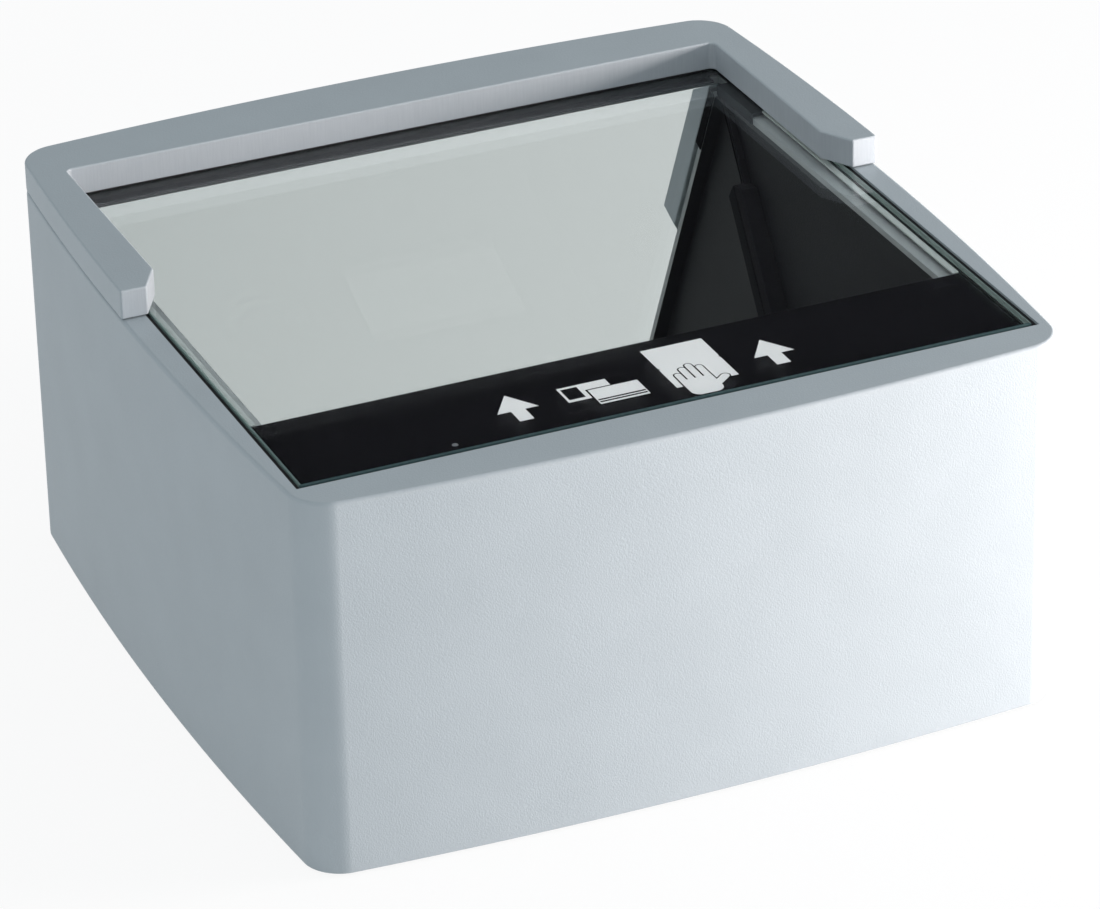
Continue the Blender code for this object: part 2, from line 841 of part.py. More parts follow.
def front_post_places():
    """The front board's posts, near its corners; the first and the last take the two screws."""
    x = front_board_half - front_post_inset
    low_z = front_board_low_z + front_post_inset
    high_z = front_board_top_z - front_post_inset
    return [(-x, high_z), (-x, low_z), (x, low_z), (x, high_z)]


def build_lamps():
    """Reflectors, diffusers and three rows of diodes on each side of the lens."""
    diffuser_rear_y = bulkhead_front_y - fit_gap
    diffuser_front_y = diffuser_rear_y - diffuser_thickness
    reflector_rear_y = diffuser_front_y - fit_gap
    reflector_front_y = front_board_face_y + fit_gap
    for side, word in ((-1, "left"), (1, "right")):
        middle = side * lamp_middle_x
        low = (middle - lamp_outer_x, reflector_front_y, lens_axis_z - lamp_outer_z)
        high = (middle + lamp_outer_x, reflector_rear_y, lens_axis_z + lamp_outer_z)
        tube = box("reflector", low, high)
        low = (
            middle - lamp_window_width / 2,
            reflector_front_y - cut_overrun,
            lens_axis_z - lamp_window_height / 2,
        )
        high = (
            middle + lamp_window_width / 2,
            reflector_rear_y + cut_overrun,
            lens_axis_z + lamp_window_height / 2,
        )
        cut(tube, box("reflector_bore", low, high))
        finished(tube, word + "_reflector", white_plastic)
        low = (middle - lamp_outer_x, diffuser_front_y, lens_axis_z - lamp_outer_z)
        high = (middle + lamp_outer_x, diffuser_rear_y, lens_axis_z + lamp_outer_z)
        sheet = box("diffuser", low, high)
        finished(sheet, word + "_diffuser", opal_plastic)
        build_lamp_board(word + "_lamp_board", middle)


def build_lamp_board(name, middle):
    """A small board that fills the front end of a reflector, with rows of diodes on it."""
    half_x = lamp_window_width / 2 - fit_gap
    half_z = lamp_window_height / 2 - fit_gap
    low_y = front_board_face_y + fit_gap
    face_y = low_y + lamp_board_thickness
    low = (middle - half_x, low_y, lens_axis_z - half_z)
    board = box(name, low, (middle + half_x, face_y, lens_axis_z + half_z))
    pitch_x = lamp_window_width / diode_columns
    pitch_z = lamp_window_height / diode_rows
    for row in range(diode_rows):
        z = lens_axis_z + (row - (diode_rows - 1) / 2) * pitch_z
        for column in range(diode_columns):
            x = middle + (column - (diode_columns - 1) / 2) * pitch_x
            low = (x - diode_size / 2, face_y - lamp_board_thickness / 2, z - diode_size / 2)
            high = (x + diode_size / 2, face_y + diode_thickness, z + diode_size / 2)
            add_on(board, box("diode", low, high))
    finished(board, name, white_board)


def build_front_board():
    """The upright board behind the bulkhead's posts, with its screws."""
    low = (-front_board_half, front_board_face_y - board_thickness, front_board_low_z)
    board = box("front_board", low, (front_board_half, front_board_face_y, front_board_top_z))
    hole_radius = board_screw_radius + fit_gap
    for x, z in front_post_places():
        start = (x, front_board_face_y - board_thickness - cut_overrun, z)
        cut(board, drum("hole", hole_radius, start, (x, front_board_face_y + cut_overrun, z), 12))
    finished(board, "front_board", green_board)
    seat_y = front_board_face_y - board_thickness - fit_gap
    grip = board_thickness + fit_gap + board_screw_grip
    screw = pan_screw(board_screw_head_radius, board_screw_head_height, board_screw_radius, grip)
    screw.rotation_euler = (-math.pi / 2, 0, 0)
    left, _, _, right = front_post_places()
    places = {
        "front_board_screw_left": (left[0], seat_y, left[1]),
        "front_board_screw_right": (right[0], seat_y, right[1]),
    }
    placed_copies(screw, places, steel)


def build_camera():
    """Image sensor, lens holder and the lens that is screwed in and out of it to focus."""
    axis = frame_empty("lens_axis", (0, front_board_face_y + fit_gap, lens_axis_z), -math.pi / 2)
    half = sensor_size / 2
    chip = box("image_sensor", (-half, -half, 0), (half, half, sensor_thickness))
    finished(chip, "image_sensor", ceramic, axis)
    half = holder_base_size / 2
    holder = box("lens_holder", (-half, -half, 0), (half, half, holder_base_depth))
    end = holder_base_depth + holder_neck_length
    neck_start = (0, 0, holder_base_depth - cut_overrun)
    add_on(holder, drum("neck", neck_radius, neck_start, (0, 0, end)))
    cut(holder, drum("bore", bore_radius, (0, 0, -cut_overrun), (0, 0, end + cut_overrun)))
    half = sensor_size / 2 + sensor_clearance
    pocket = box("pocket", (-half, -half, -cut_overrun), (half, half, sensor_thickness + sensor_to_bore))
    cut(holder, pocket)
    finished(holder, "lens_holder", black_plastic, axis)
    for tool in [m.object for m in holder.modifiers]:
        tool.parent = axis
    ring_top = lock_ring_start + lock_ring_thickness
    ring = turned(
        "lens_lock_ring",
        [
            (bore_radius + lock_ring_width, ring_top),
            (bore_radius + lock_ring_width, lock_ring_start),
            (bore_radius, lock_ring_start),
            (bore_radius, ring_top),
        ],
        closed=True,
    )
    finished(ring, "lens_lock_ring", black_metal, axis)
    build_barrel(axis)


def build_barrel(axis):
    """The threaded barrel with its two glass elements and the ring that holds them in."""
    start = barrel_head_start - barrel_tail
    mouth = barrel_end - barrel_mouth_depth
    barrel = turned(
        "lens_barrel",
        [
            (barrel_mouth_radius, barrel_end),
            (head_radius, barrel_end),
            (head_radius, barrel_head_start),
            (barrel_radius, barrel_head_start),
            (barrel_radius, start),
            (barrel_bore_radius, start),
            (barrel_bore_radius, mouth),
            (barrel_mouth_radius, mouth),
        ],
        closed=True,
    )
    finished(barrel, "lens_barrel", black_metal, axis)
    retainer_top = mouth + fit_gap + retainer_thickness
    retainer = turned(
        "lens_retainer",
        [
            (barrel_mouth_radius - fit_gap, retainer_top),
            (barrel_mouth_radius - fit_gap, mouth + fit_gap),
            (element_radius - retainer_overlap, mouth + fit_gap),
            (element_radius - retainer_overlap, retainer_top),
        ],
        closed=True,
    )
    finished(retainer, "lens_retainer", black_metal, axis)
    front_top = mouth
    front_low = front_top - front_element_thickness
    element("lens_front_glass", front_low, front_top, axis)
    rear_top = front_low - element_spacing
    element("lens_rear_glass", rear_top - rear_element_thickness, rear_top, axis)


def element(name, low, high, axis):
    """A double-convex lens element whose faces bulge inside its thickness."""
    rim_high = high - element_crown
    rim_low = low + element_crown
    steps = 4
    upper = [
        (element_radius * math.sin(math.pi / 2 * i / steps), rim_high + crown_height(i, steps))
        for i in range(steps + 1)
    ]
    lower = [
        (element_radius * math.sin(math.pi / 2 * i / steps), rim_low - crown_height(i, steps))
        for i in reversed(range(steps + 1))
    ]
    finished(turned(name, upper + lower, sides=24), name, lens_glass, axis)


def crown_height(step, steps):
    """Height of an element's bulge above its rim, from its middle out."""
    return element_crown * math.cos(math.pi / 2 * step / steps)


def build_status_light():
    """A diode on the front board's top edge, and the pipe that takes its light up to the film."""
    half = status_diode_size / 2
    top_z = front_board_top_z - status_diode_below_top
    low_y = front_board_face_y + fit_gap
    x = status_light_from_side - front_board_half
    low = (x - half, low_y, top_z - status_diode_size)
    diode = box("status_led", low, (x + half, low_y + status_diode_size, top_z))
    finished(diode, "status_led", status_diode)
    start = (x, low_y + half, top_z + fit_gap)
    end = (x, low_y + half, film_low_z - fit_gap)
    finished(drum("light_pipe", light_pipe_radius, start, end, 16), "light_pipe", clear_plastic)


def main_post_places():
    """The main board's posts on the base plate; the first and the last take the two screws."""
    x = main_board_half - main_post_inset
    front_y = main_board_front_y + main_post_inset
    rear_y = main_board_rear_y - main_post_inset
    return [(-x, front_y), (-x, rear_y), (x, front_y), (x, rear_y)]


def build_main_board():
    """The flat board behind the mirror, on the base plate's posts, with its larger components."""
    low = (-main_board_half, main_board_front_y, main_board_low_z)
    board = box("main_board", low, (main_board_half, main_board_rear_y, main_board_top_z))
    for x, y in main_post_places():
        start = (x, y, main_board_low_z - cut_overrun)
        end = (x, y, main_board_top_z + cut_overrun)
        cut(board, drum("hole", board_screw_radius + fit_gap, start, end, 12))
    finished(board, "main_board", green_board)
    grip = board_thickness + fit_gap + main_post_height
    screw = pan_screw(board_screw_head_radius, board_screw_head_height, board_screw_radius, grip)
    screw.rotation_euler = (math.pi, 0, 0)
    left, _, _, right = main_post_places()
    places = {"main_board_screw_left": (*left, on_board_z), "main_board_screw_right": (*right, on_board_z)}
    placed_copies(screw, places, steel)
    row_y = main_board_front_y + (main_board_rear_y - main_board_front_y) * component_row_share
    chip = on_board("processor", 0, row_y, processor_size, processor_size, processor_thickness)
    finished(chip, "processor", chip_black)
    memory_x = processor_size / 2 + component_spacing + memory_length / 2
    chip = on_board("memory_chip", memory_x, row_y, memory_length, memory_width, memory_thickness)
    finished(chip, "memory_chip", chip_black)
    capacitor_x = memory_x + memory_length / 2 + component_spacing + capacitor_radius
    base = (capacitor_x, row_y, on_board_z)
    top = (capacitor_x, row_y, on_board_z + capacitor_height)
    finished(drum("capacitor", capacitor_radius, base, top, 20), "capacitor", aluminium)


def on_board(name, x, y, length, width, height):
    """A box on the main board's upper side."""
    low = (x - length / 2, y - width / 2, on_board_z)
    return box(name, low, (x + length / 2, y + width / 2, on_board_z + height))


def build_sockets():
    """The data socket and the power jack, on the main board's rear edge."""
    half = usb_width / 2
    low = (usb_x - half, socket_face_y - usb_length, on_board_z)
    shell = box("usb_shell", low, (usb_x + half, socket_face_y, on_board_z + usb_height))
    middle_z = on_board_z + usb_height / 2
    half_x = usb_mouth_width / 2
    half_z = usb_mouth_height / 2
    low = (usb_x - half_x, socket_face_y - usb_mouth_depth, middle_z - half_z)
    high = (usb_x + half_x, socket_face_y + cut_overrun, middle_z + half_z)
    cut(shell, box("mouth", low, high))
    finished(shell, "usb_shell", zinc_steel)
    half_x = usb_tongue_width / 2
    half_z = usb_tongue_height / 2
    low = (usb_x - half_x, socket_face_y - usb_mouth_depth + fit_gap, middle_z - half_z)
    high = (usb_x + half_x, socket_face_y - usb_tongue_setback, middle_z + half_z)
    finished(box("usb_tongue", low, high), "usb_tongue", white_plastic)
    half = jack_width / 2
    low = (jack_x - half, socket_face_y - jack_length, on_board_z)
    jack = box("power_jack", low, (jack_x + half, socket_face_y, on_board_z + jack_height))
    middle_z = on_board_z + jack_height / 2
    start = (jack_x, socket_face_y - jack_bore_depth, middle_z)
    cut(jack, drum("bore", jack_bore_radius, start, (jack_x, socket_face_y + cut_overrun, middle_z), 24))
    finished(jack, "power_jack", black_plastic)
    start = (jack_x, socket_face_y - jack_bore_depth + fit_gap, middle_z)
    end = (jack_x, socket_face_y - jack_pin_setback, middle_z)
    finished(drum("power_pin", jack_pin_radius, start, end, 16), "power_pin", brass)


def build_cable():
    """The flat cable from the front board, below the floor panel, to the main board."""
    half = cable_width / 2 + cable_socket_side_wall
    low_y = front_board_face_y + fit_gap
    socket_low_z = front_board_low_z + fit_gap
    low = (-half, low_y, socket_low_z)
    high = (half, low_y + cable_socket_depth, socket_low_z + cable_socket_height)
    finished(box("front_cable_socket", low, high), "front_cable_socket", white_plastic)
    start_y = main_board_front_y
    main_top_z = main_board_low_z - fit_gap
    low = (-half, start_y, on_plate_z)
    high = (half, start_y + main_cable_socket_length, main_top_z)
    finished(box("main_cable_socket", low, high), "main_cable_socket", white_plastic)
    drop_y = low_y + cable_socket_depth / 2
    low_z = plate_top_z + cable_above_plate
    high_z = low_z + cable_thickness
    outline = [
        (drop_y, socket_low_z - fit_gap),
        (drop_y, low_z),
        (start_y - fit_gap, low_z),
        (start_y - fit_gap, high_z),
        (drop_y + cable_thickness, high_z),
        (drop_y + cable_thickness, socket_low_z - fit_gap),
    ]
    strip = slab("flat_cable", [outline], -cable_width / 2, cable_width / 2, across="X")
    finished(strip, "flat_cable", cable_white)


def build_base():
    """The plate that closes the underside with its pressed posts, its screws and the feet."""
    plate = slab("base_plate", [plan_outline(shell_wall + fit_gap)], plate_low_z, plate_top_z)
    for x, y in main_post_places():
        start = (x, y, plate_low_z + plate_thickness / 2)
        add_on(plate, drum("post", post_radius, start, (x, y, plate_top_z + main_post_height), 12))
    for x, y in main_post_places():
        end = (x, y, plate_top_z + main_post_height + cut_overrun)
        cut(plate, drum("post_hole", board_screw_radius + fit_gap, (x, y, plate_top_z - fit_gap), end, 12))
    hole_radius = base_screw_radius + fit_gap
    for x, y, z in four_corners(boss_x, boss_y, plate_low_z - cut_overrun).values():
        cut(plate, drum("hole", hole_radius, (x, y, z), (x, y, plate_top_z + cut_overrun), 16))
    finished(plate, "base_plate", zinc_steel)
    seat_z = plate_low_z - fit_gap
    length = plate_top_z + base_screw_reach - seat_z
    screw = pan_screw(base_screw_head_radius, base_screw_head_height, base_screw_radius, length)
    corners = four_corners(boss_x, boss_y, seat_z)
    placed_copies(screw, {"base_screw_" + word: place for word, place in corners.items()}, steel)
    foot = drum("foot", foot_radius, (0, 0, 0), (0, 0, seat_z), 24)
    corners = four_corners(plan_width / 2 - foot_inset, plan_depth / 2 - foot_inset, seat_z / 2)
    placed_copies(foot, {"foot_" + word: place for word, place in corners.items()}, black_rubber)


for old in list(bpy.data.objects):
    bpy.data.objects.remove(old)

parts = new_collection("passport_reader")
cutters = new_collection("cutters")

paint = make_material("grey_textured_paint", (0.52, 0.56, 0.60), 0.55)
clear_glass = make_material("float_glass", (0.75, 0.86, 0.84), 0.03, alpha=0.3)
black_print = make_material("black_print", (0.010, 0.010, 0.014), 0.30)
black_rubber = make_material("black_rubber", (0.015, 0.015, 0.016), 0.80)
black_foam = make_material("black_foam", (0.012, 0.012, 0.013), 0.95)
mirror_silver = make_material("mirror_silver", (0.90, 0.92, 0.92), 0.02, metallic=1.0)
charcoal_plastic = make_material("charcoal_plastic", (0.045, 0.046, 0.050), 0.70)
black_plastic = make_material("black_plastic", (0.020, 0.020, 0.022), 0.50)
white_plastic = make_material("white_plastic", (0.85, 0.85, 0.83), 0.50)
opal_plastic = make_material("opal_plastic", (0.90, 0.90, 0.88), 0.45)
clear_plastic = make_material("clear_plastic", (0.85, 0.90, 0.90), 0.10, alpha=0.4)
green_board = make_material("green_board", (0.020, 0.170, 0.070), 0.40)
white_board = make_material("white_board", (0.85, 0.85, 0.82), 0.40)
status_diode = make_material("status_diode", (0.80, 0.86, 0.80), 0.35)
ceramic = make_material("sensor_ceramic", (0.10, 0.12, 0.18), 0.15)
lens_glass = make_material("lens_glass", (0.55, 0.45, 0.65), 0.03, alpha=0.5)
black_metal = make_material("black_anodised", (0.020, 0.020, 0.020), 0.35, metallic=0.8)
steel = make_material("steel", (0.55, 0.55, 0.55), 0.30, metallic=1.0)
zinc_steel = make_material("zinc_steel", (0.62, 0.63, 0.64), 0.40, metallic=1.0)
brass = make_material("brass", (0.72, 0.52, 0.22), 0.30, metallic=1.0)
aluminium = make_material("aluminium", (0.75, 0.75, 0.76), 0.35, metallic=1.0)
chip_black = make_material("chip_black", (0.03, 0.03, 0.03), 0.50)
cable_white = make_material("cable_white", (0.82, 0.82, 0.80), 0.45)

build_housing()
build_guide_frame()
build_frame_screws()
build_glass()
build_mirror()
build_light_box()
build_lamps()
build_front_board()
build_camera()
build_status_light()
build_main_board()
build_sockets()
build_cable()
build_base()
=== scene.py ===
"""Looks of a counter-top passport reader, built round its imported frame.

Metres, +Z up, X to the right, the user stands at -Y. Each solid of the frame has a piece here that stands
for it, except the flat cable, which stays; every solid gets its finish too.
"""

import math

import bmesh
import bpy
from mathutils import Matrix, Vector


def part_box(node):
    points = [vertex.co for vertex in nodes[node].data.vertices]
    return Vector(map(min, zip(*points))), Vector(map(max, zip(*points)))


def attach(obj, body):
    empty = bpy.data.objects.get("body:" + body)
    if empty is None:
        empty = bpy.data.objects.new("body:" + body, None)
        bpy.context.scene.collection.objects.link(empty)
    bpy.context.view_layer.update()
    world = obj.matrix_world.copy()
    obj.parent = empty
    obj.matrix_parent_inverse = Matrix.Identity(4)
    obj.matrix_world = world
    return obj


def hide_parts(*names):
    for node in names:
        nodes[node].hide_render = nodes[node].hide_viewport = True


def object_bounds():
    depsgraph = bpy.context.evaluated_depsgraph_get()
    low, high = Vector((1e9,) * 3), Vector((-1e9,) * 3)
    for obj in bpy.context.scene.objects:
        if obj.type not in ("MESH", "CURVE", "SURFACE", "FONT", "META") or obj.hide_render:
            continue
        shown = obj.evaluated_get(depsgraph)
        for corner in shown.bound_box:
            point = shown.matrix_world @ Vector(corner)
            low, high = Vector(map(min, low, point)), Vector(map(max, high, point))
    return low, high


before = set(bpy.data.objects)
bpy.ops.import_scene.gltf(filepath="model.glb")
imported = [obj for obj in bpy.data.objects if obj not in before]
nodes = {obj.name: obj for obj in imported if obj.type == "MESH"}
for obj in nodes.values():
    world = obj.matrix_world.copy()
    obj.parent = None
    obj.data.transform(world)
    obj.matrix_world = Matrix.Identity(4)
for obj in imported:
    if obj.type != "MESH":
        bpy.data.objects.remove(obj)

cad_low, cad_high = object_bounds()
mm = 0.001

# Fits and finishing sizes shared by the pieces
overrun = 1.0 * mm
hair_gap = 0.05 * mm
smooth_angle = 32

# Casing form
half = cad_high.x
side_bow = 3.3 * mm
bow_radius = (half * half + side_bow * side_bow) / (2 * side_bow)
corner_radius = 7.0 * mm
corner_leg = 6.15 * mm
corner_segments = 12
side_cuts = 23
shell_wall = 2.8 * mm
rim_round = 0.7 * mm
frame_round = 0.35 * mm
edge_break = 0.2 * mm

# Thin black rubber line that the guide frame stands on, over the glass: partly a seal, partly painted shadow
# for the gap under the rear bar
frame_gap = 0.2 * mm
frame_shadow_line_width = 1.6 * mm

# Housing bosses and holes
boss_place = 64.5 * mm
boss_radius = 3.6 * mm
boss_hole_radius = 1.6 * mm
boss_hole_depth = 9.0 * mm
frame_hole_radius = 1.55 * mm

# Guide frame form
arm_chamfer_across = 3.5 * mm
arm_chamfer_along = 6.2 * mm
guide_clear_half = 65.0 * mm
guide_bar_depth = 14.1 * mm
guide_arm_length = 51.9 * mm
bay_corner_radius = 1.2 * mm
peg_radius = 0.8 * mm
peg_hole_radius = 1.1 * mm
peg_place = 11.0 * mm
peg_outset = 1.95 * mm
peg_root = 0.5 * mm
peg_tip = 0.4 * mm
peg_tip_share = 0.6


def linear(colour):
    """An sRGB hex colour as linear red, green, blue and alpha."""
    parts = [int(colour[i : i + 2], 16) / 255 for i in (1, 3, 5)]
    return (*[p / 12.92 if p <= 0.04045 else ((p + 0.055) / 1.055) ** 2.4 for p in parts], 1.0)


def add_node(tree, kind, inputs=None, **settings):
    """Adds a node with its settings, and sets or links its sockets."""
    node = tree.nodes.new(kind)
    for name, value in settings.items():
        setattr(node, name, value)
    for socket, value in (inputs or {}).items():
        if isinstance(value, bpy.types.NodeSocket):
            tree.links.new(value, node.inputs[socket])
        else:
            node.inputs[socket].default_value = value
    return node


def new_material(name, colour, roughness, **sockets):
    """A material with one Principled shader; returns the material, its tree and its shader."""
    made = bpy.data.materials.new(name)
    made.use_nodes = True
    tree = made.node_tree
    shader = tree.nodes["Principled BSDF"]
    shader.inputs["Base Color"].default_value = linear(colour)
    shader.inputs["Roughness"].default_value = roughness
    for socket, value in sockets.items():
        shader.inputs[socket.replace("_", " ")].default_value = value
    made.diffuse_color = linear(colour)
    return made, tree, shader


def object_place(tree, scale=(1, 1, 1)):
    """Object coordinates in metres, stretched where a finish has a direction."""
    place = add_node(tree, "ShaderNodeTexCoord").outputs["Object"]
    mapping = add_node(tree, "ShaderNodeMapping", {"Vector": place, "Scale": scale})
    return mapping.outputs["Vector"]


def grain(tree, size, place, detail=2.0):
    """A noise whose lumps are about one size across."""
    settings = {"Vector": place, "Scale": 1 / size, "Detail": detail, "Roughness": 0.55}
    return add_node(tree, "ShaderNodeTexNoise", settings).outputs["Fac"]


def raise_surface(tree, shader, height, depth, strength):
    """A bump of a real depth on the shader."""
    inputs = {"Height": height, "Distance": depth, "Strength": strength}
    bump = add_node(tree, "ShaderNodeBump", inputs)
    tree.links.new(bump.outputs["Normal"], shader.inputs["Normal"])


def mix_colour(tree, amount, first, second):
    """A colour between two others, each a hex value, a linear colour or a socket."""
    first, second = [linear(each) if isinstance(each, str) else each for each in (first, second)]
    inputs = {"Factor": amount, "A": first, "B": second}
    return add_node(tree, "ShaderNodeMix", inputs, data_type="RGBA").outputs["Result"]


def vary_colour(tree, shader, amount, dark, light):
    """Lets the colour wander between two tones."""
    tree.links.new(mix_colour(tree, amount, dark, light), shader.inputs["Base Color"])


def vary_roughness(tree, shader, amount, low, high):
    """Lets the roughness wander between two values."""
    spread = add_node(tree, "ShaderNodeMapRange", {"Value": amount, "To Min": low, "To Max": high})
    tree.links.new(spread.outputs["Result"], shader.inputs["Roughness"])


def reckon(tree, operation, first, second=0.0):
    """A math node's result."""
    return add_node(tree, "ShaderNodeMath", {0: first, 1: second}, operation=operation).outputs[0]


def grained(
    name, colour, roughness, bump=None, tones=None, gloss=None, stretch=(1, 1, 1), detail=2.0, **sockets
):
    """A material whose relief, tone and roughness follow noises. Each starts with its lump size in mm; then
    come a depth in mm and a strength, or two tones, or two roughnesses."""
    made, tree, shader = new_material(name, colour, roughness, **sockets)
    place = object_place(tree, stretch)
    if tones:
        vary_colour(tree, shader, grain(tree, tones[0] * mm, place, detail), *tones[1:])
    if gloss:
        vary_roughness(tree, shader, grain(tree, gloss[0] * mm, place, detail), *gloss[1:])
    if bump:
        raise_surface(tree, shader, grain(tree, bump[0] * mm, place, detail), bump[1] * mm, bump[2])
    return made


def ground_edge(name, dark, light):
    """The glass's ground and seamed edge: a satin line, with tiny chips as lighter specks."""
    relief, tones, gloss = (0.4, 0.02, 0.5), (0.4, dark, light), (0.4, 0.25, 0.5)
    return grained(name, light, 0.35, relief, tones, gloss, detail=4.0, IOR=1.52, Transmission_Weight=0.35)


def open_cell_foam(name, colour, specular):
    """Die-cut polyurethane foam: open cells that swallow the light."""
    made, tree, shader = new_material(name, colour, 1.0, IOR=1.4, Specular_IOR_Level=specular)
    settings = {"Vector": object_place(tree), "Scale": 1 / (0.45 * mm)}
    cells = add_node(tree, "ShaderNodeTexVoronoi", settings).outputs["Distance"]
    raise_surface(tree, shader, cells, 0.12 * mm, 0.8)
    return made


def moulded(name, colour, roughness):
    """A plain moulded plastic: nearly even, with slight flow marks."""
    gloss = (0.8, roughness - 0.08, roughness + 0.08)
    return grained(name, colour, roughness, (0.8, 0.01, 0.4), gloss=gloss, stretch=(1, 1, 0.4), IOR=1.5)


def rolled_metal(name, colour, roughness):
    """Rolled or turned metal: fine lines along one way."""
    gloss = (0.25, roughness - 0.08, roughness + 0.12)
    relief, stretch = (0.25, 0.008, 0.5), (0.06, 1, 1)
    return grained(name, colour, roughness, relief, gloss=gloss, stretch=stretch, Metallic=1.0)


def ribbon():
    """Polyester flat cable: the conductors show through as fine lengthwise stripes."""
    made, tree, shader = new_material("laminated_polyester_ribbon", "#DFDFD9", 0.38, IOR=1.5)
    axes = add_node(tree, "ShaderNodeSeparateXYZ", {"Vector": object_place(tree)}).outputs
    share = reckon(tree, "FRACT", reckon(tree, "MULTIPLY", axes["X"], 1 / (1.0 * mm)))
    stripes = reckon(tree, "GREATER_THAN", share, 0.45)
    vary_colour(tree, shader, stripes, "#E4E4DF", "#B9B5A8")
    raise_surface(tree, shader, stripes, 0.03 * mm, 0.5)
    return made


def solder_mask():
    """Green solder mask over copper: tracks show as a raised, slightly lighter green."""
    made, tree, shader = new_material("green_solder_mask", "#125C36", 0.3, IOR=1.5)
    settings = {"Vector": object_place(tree), "Scale": 1 / (2.4 * mm), "Randomness": 1.0}
    blocks = add_node(tree, "ShaderNodeTexVoronoi", settings, distance="CHEBYCHEV").outputs["Distance"]
    share = reckon(tree, "FRACT", reckon(tree, "MULTIPLY", blocks, 9.0))
    tracks = reckon(tree, "GREATER_THAN", share, 0.62)
    vary_colour(tree, shader, tracks, "#0B4527", "#2B8A57")
    raise_surface(tree, shader, tracks, 0.03 * mm, 0.5)
    return made


def clear_glass(name, colour, index, tint):
    """A clear, smooth glass whose coat tints and dims its reflections."""
    return new_material(name, colour, 0.0, IOR=index, Transmission_Weight=1.0, Specular_Tint=linear(tint))[0]


# Two-pack structure paint on moulded ABS: a fine pebbled skin that breaks up every reflection
relief, tones, gloss = (0.32, 0.06, 0.6), (14, "#ABB3B8", "#B3BBC0"), (0.6, 0.46, 0.60)
paint = grained("textured_two_pack_paint", "#AFB7BC", 0.5, relief, tones, gloss, IOR=1.5)
# The same paint thin over milled faces: the cutter's lines show through as an upright ribbing, drawn coarser
# than the cutter leaves it, so that it shows
relief, tones = (0.3, 0.03, 0.5), (0.3, "#A8AFB6", "#B7BEC3")
milled = grained("thin_paint_on_milled_abs", "#AFB6BC", 0.42, relief, tones, stretch=(1, 1, 0.05), IOR=1.5)
# In the glass well: the casing's paint as a smooth satin coat, its grey set a little darker than the textured
# coat to match the dimmer light under the glass: painted shade
satin = grained("satin_coat_painted_shade", "#ABB1B4", 0.36, (0.8, 0.01, 0.4), (6, "#A6ADB0", "#B0B7B9"), IOR=1.5)
# Float glass with a thin anti-glare coat: clear, with dimmed reflections
glass = clear_glass("coated_float_glass", "#FAFDFD", 1.52, "#8E9092")
# Coated optical glass: nearly colourless, with a violet glint
lens_coated = clear_glass("coated_optical_glass", "#EDE7F5", 1.6, "#B79BE6")
glass_edge = ground_edge("ground_glass_edge", "#6A8682", "#9BB3AF")
print_edge = ground_edge("ground_edge_over_print", "#2B4446", "#55757A")
# Black screen print on film: deep, even and glossy enough for a faint second image
film_black = grained("black_screen_print", "#131216", 0.16, (2.5, 0.002, 0.2), IOR=1.5)
# White screen ink: opaque, cool, with a dry surface
ink = grained("white_screen_ink", "#FDFDFF", 0.6, (0.2, 0.005, 0.4), IOR=1.45)
# Moulded nitrile rubber: matt black with a fine bloom
relief, tones = (0.25, 0.02, 0.5), (4, "#131315", "#1D1D20")
rubber = grained("moulded_nitrile_rubber", "#17171A", 0.78, relief, tones, IOR=1.5)
foam = open_cell_foam("die_cut_polyurethane_foam", "#0E0E11", 0.1)
# The foam above and beside the mirror: the same foam set a lighter grey, painted light for the deep, dim
# places where it sits
foam_painted_light = open_cell_foam("polyurethane_foam_painted_light", "#2A2A2E", 0.2)
# Acrylic mounting tape seen through the glass: a pale, slightly cloudy line
tape = grained("acrylic_mounting_tape", "#CBD3D3", 0.4, tones=(3, "#BFC8C8", "#D6DDDC"), IOR=1.47)
# Front-surface mirror: vacuum-coated aluminium, a true reflection with a faint cool cast
silver = new_material("vacuum_coated_aluminium", "#EAECEB", 0.0, Metallic=1.0)[0]
# Spark-eroded charcoal ABS: matt, with a fine speckle that scatters the light
relief, tones = (0.35, 0.12, 0.9), (0.35, "#1E1F21", "#434448")
charcoal = grained("spark_eroded_charcoal_abs", "#323336", 0.62, relief, tones, detail=3.0, IOR=1.5)
dot_grey = moulded("smoked_window_ink", "#7C7F84", 0.3)
black_abs = moulded("moulded_black_abs", "#1B1B1D", 0.5)
white_abs = moulded("moulded_white_abs", "#E2E2DE", 0.45)
opal = moulded("opal_acrylic", "#EEEEEA", 0.4)
clear_acrylic = moulded("clear_acrylic", "#DDE6E6", 0.15)
lamp_white = moulded("white_solder_mask", "#E4E4DE", 0.4)
diode_clear = moulded("clear_epoxy", "#DCE6DA", 0.2)
lacquer = moulded("mirror_back_lacquer", "#63666B", 0.45)
diode_amber = moulded("phosphor_filled_silicone", "#E5C25A", 0.35)
diode_dark = moulded("infrared_lens_epoxy", "#2A1F2B", 0.2)
diode_violet = moulded("ultraviolet_lens_epoxy", "#C9C4E4", 0.15)
diode_finishes = [lamp_white, diode_amber, diode_dark, diode_violet]
gold = rolled_metal("gold_plated_contact", "#D9B45A", 0.25)
sensor_black = moulded("sensor_cover", "#232838", 0.12)
chip_black = moulded("moulded_epoxy", "#18181A", 0.55)
cable_white = ribbon()
anodised = rolled_metal("black_anodised_aluminium", "#141415", 0.38)
bright_steel = rolled_metal("bright_zinc_screw_steel", "#B4B6B8", 0.3)
zinc_plate = rolled_metal("rolled_zinc_plated_steel", "#B9BCBE", 0.38)
brass = rolled_metal("nickel_brass", "#CDB074", 0.28)
can_metal = rolled_metal("drawn_aluminium", "#C9CACC", 0.32)
mask_green = solder_mask()

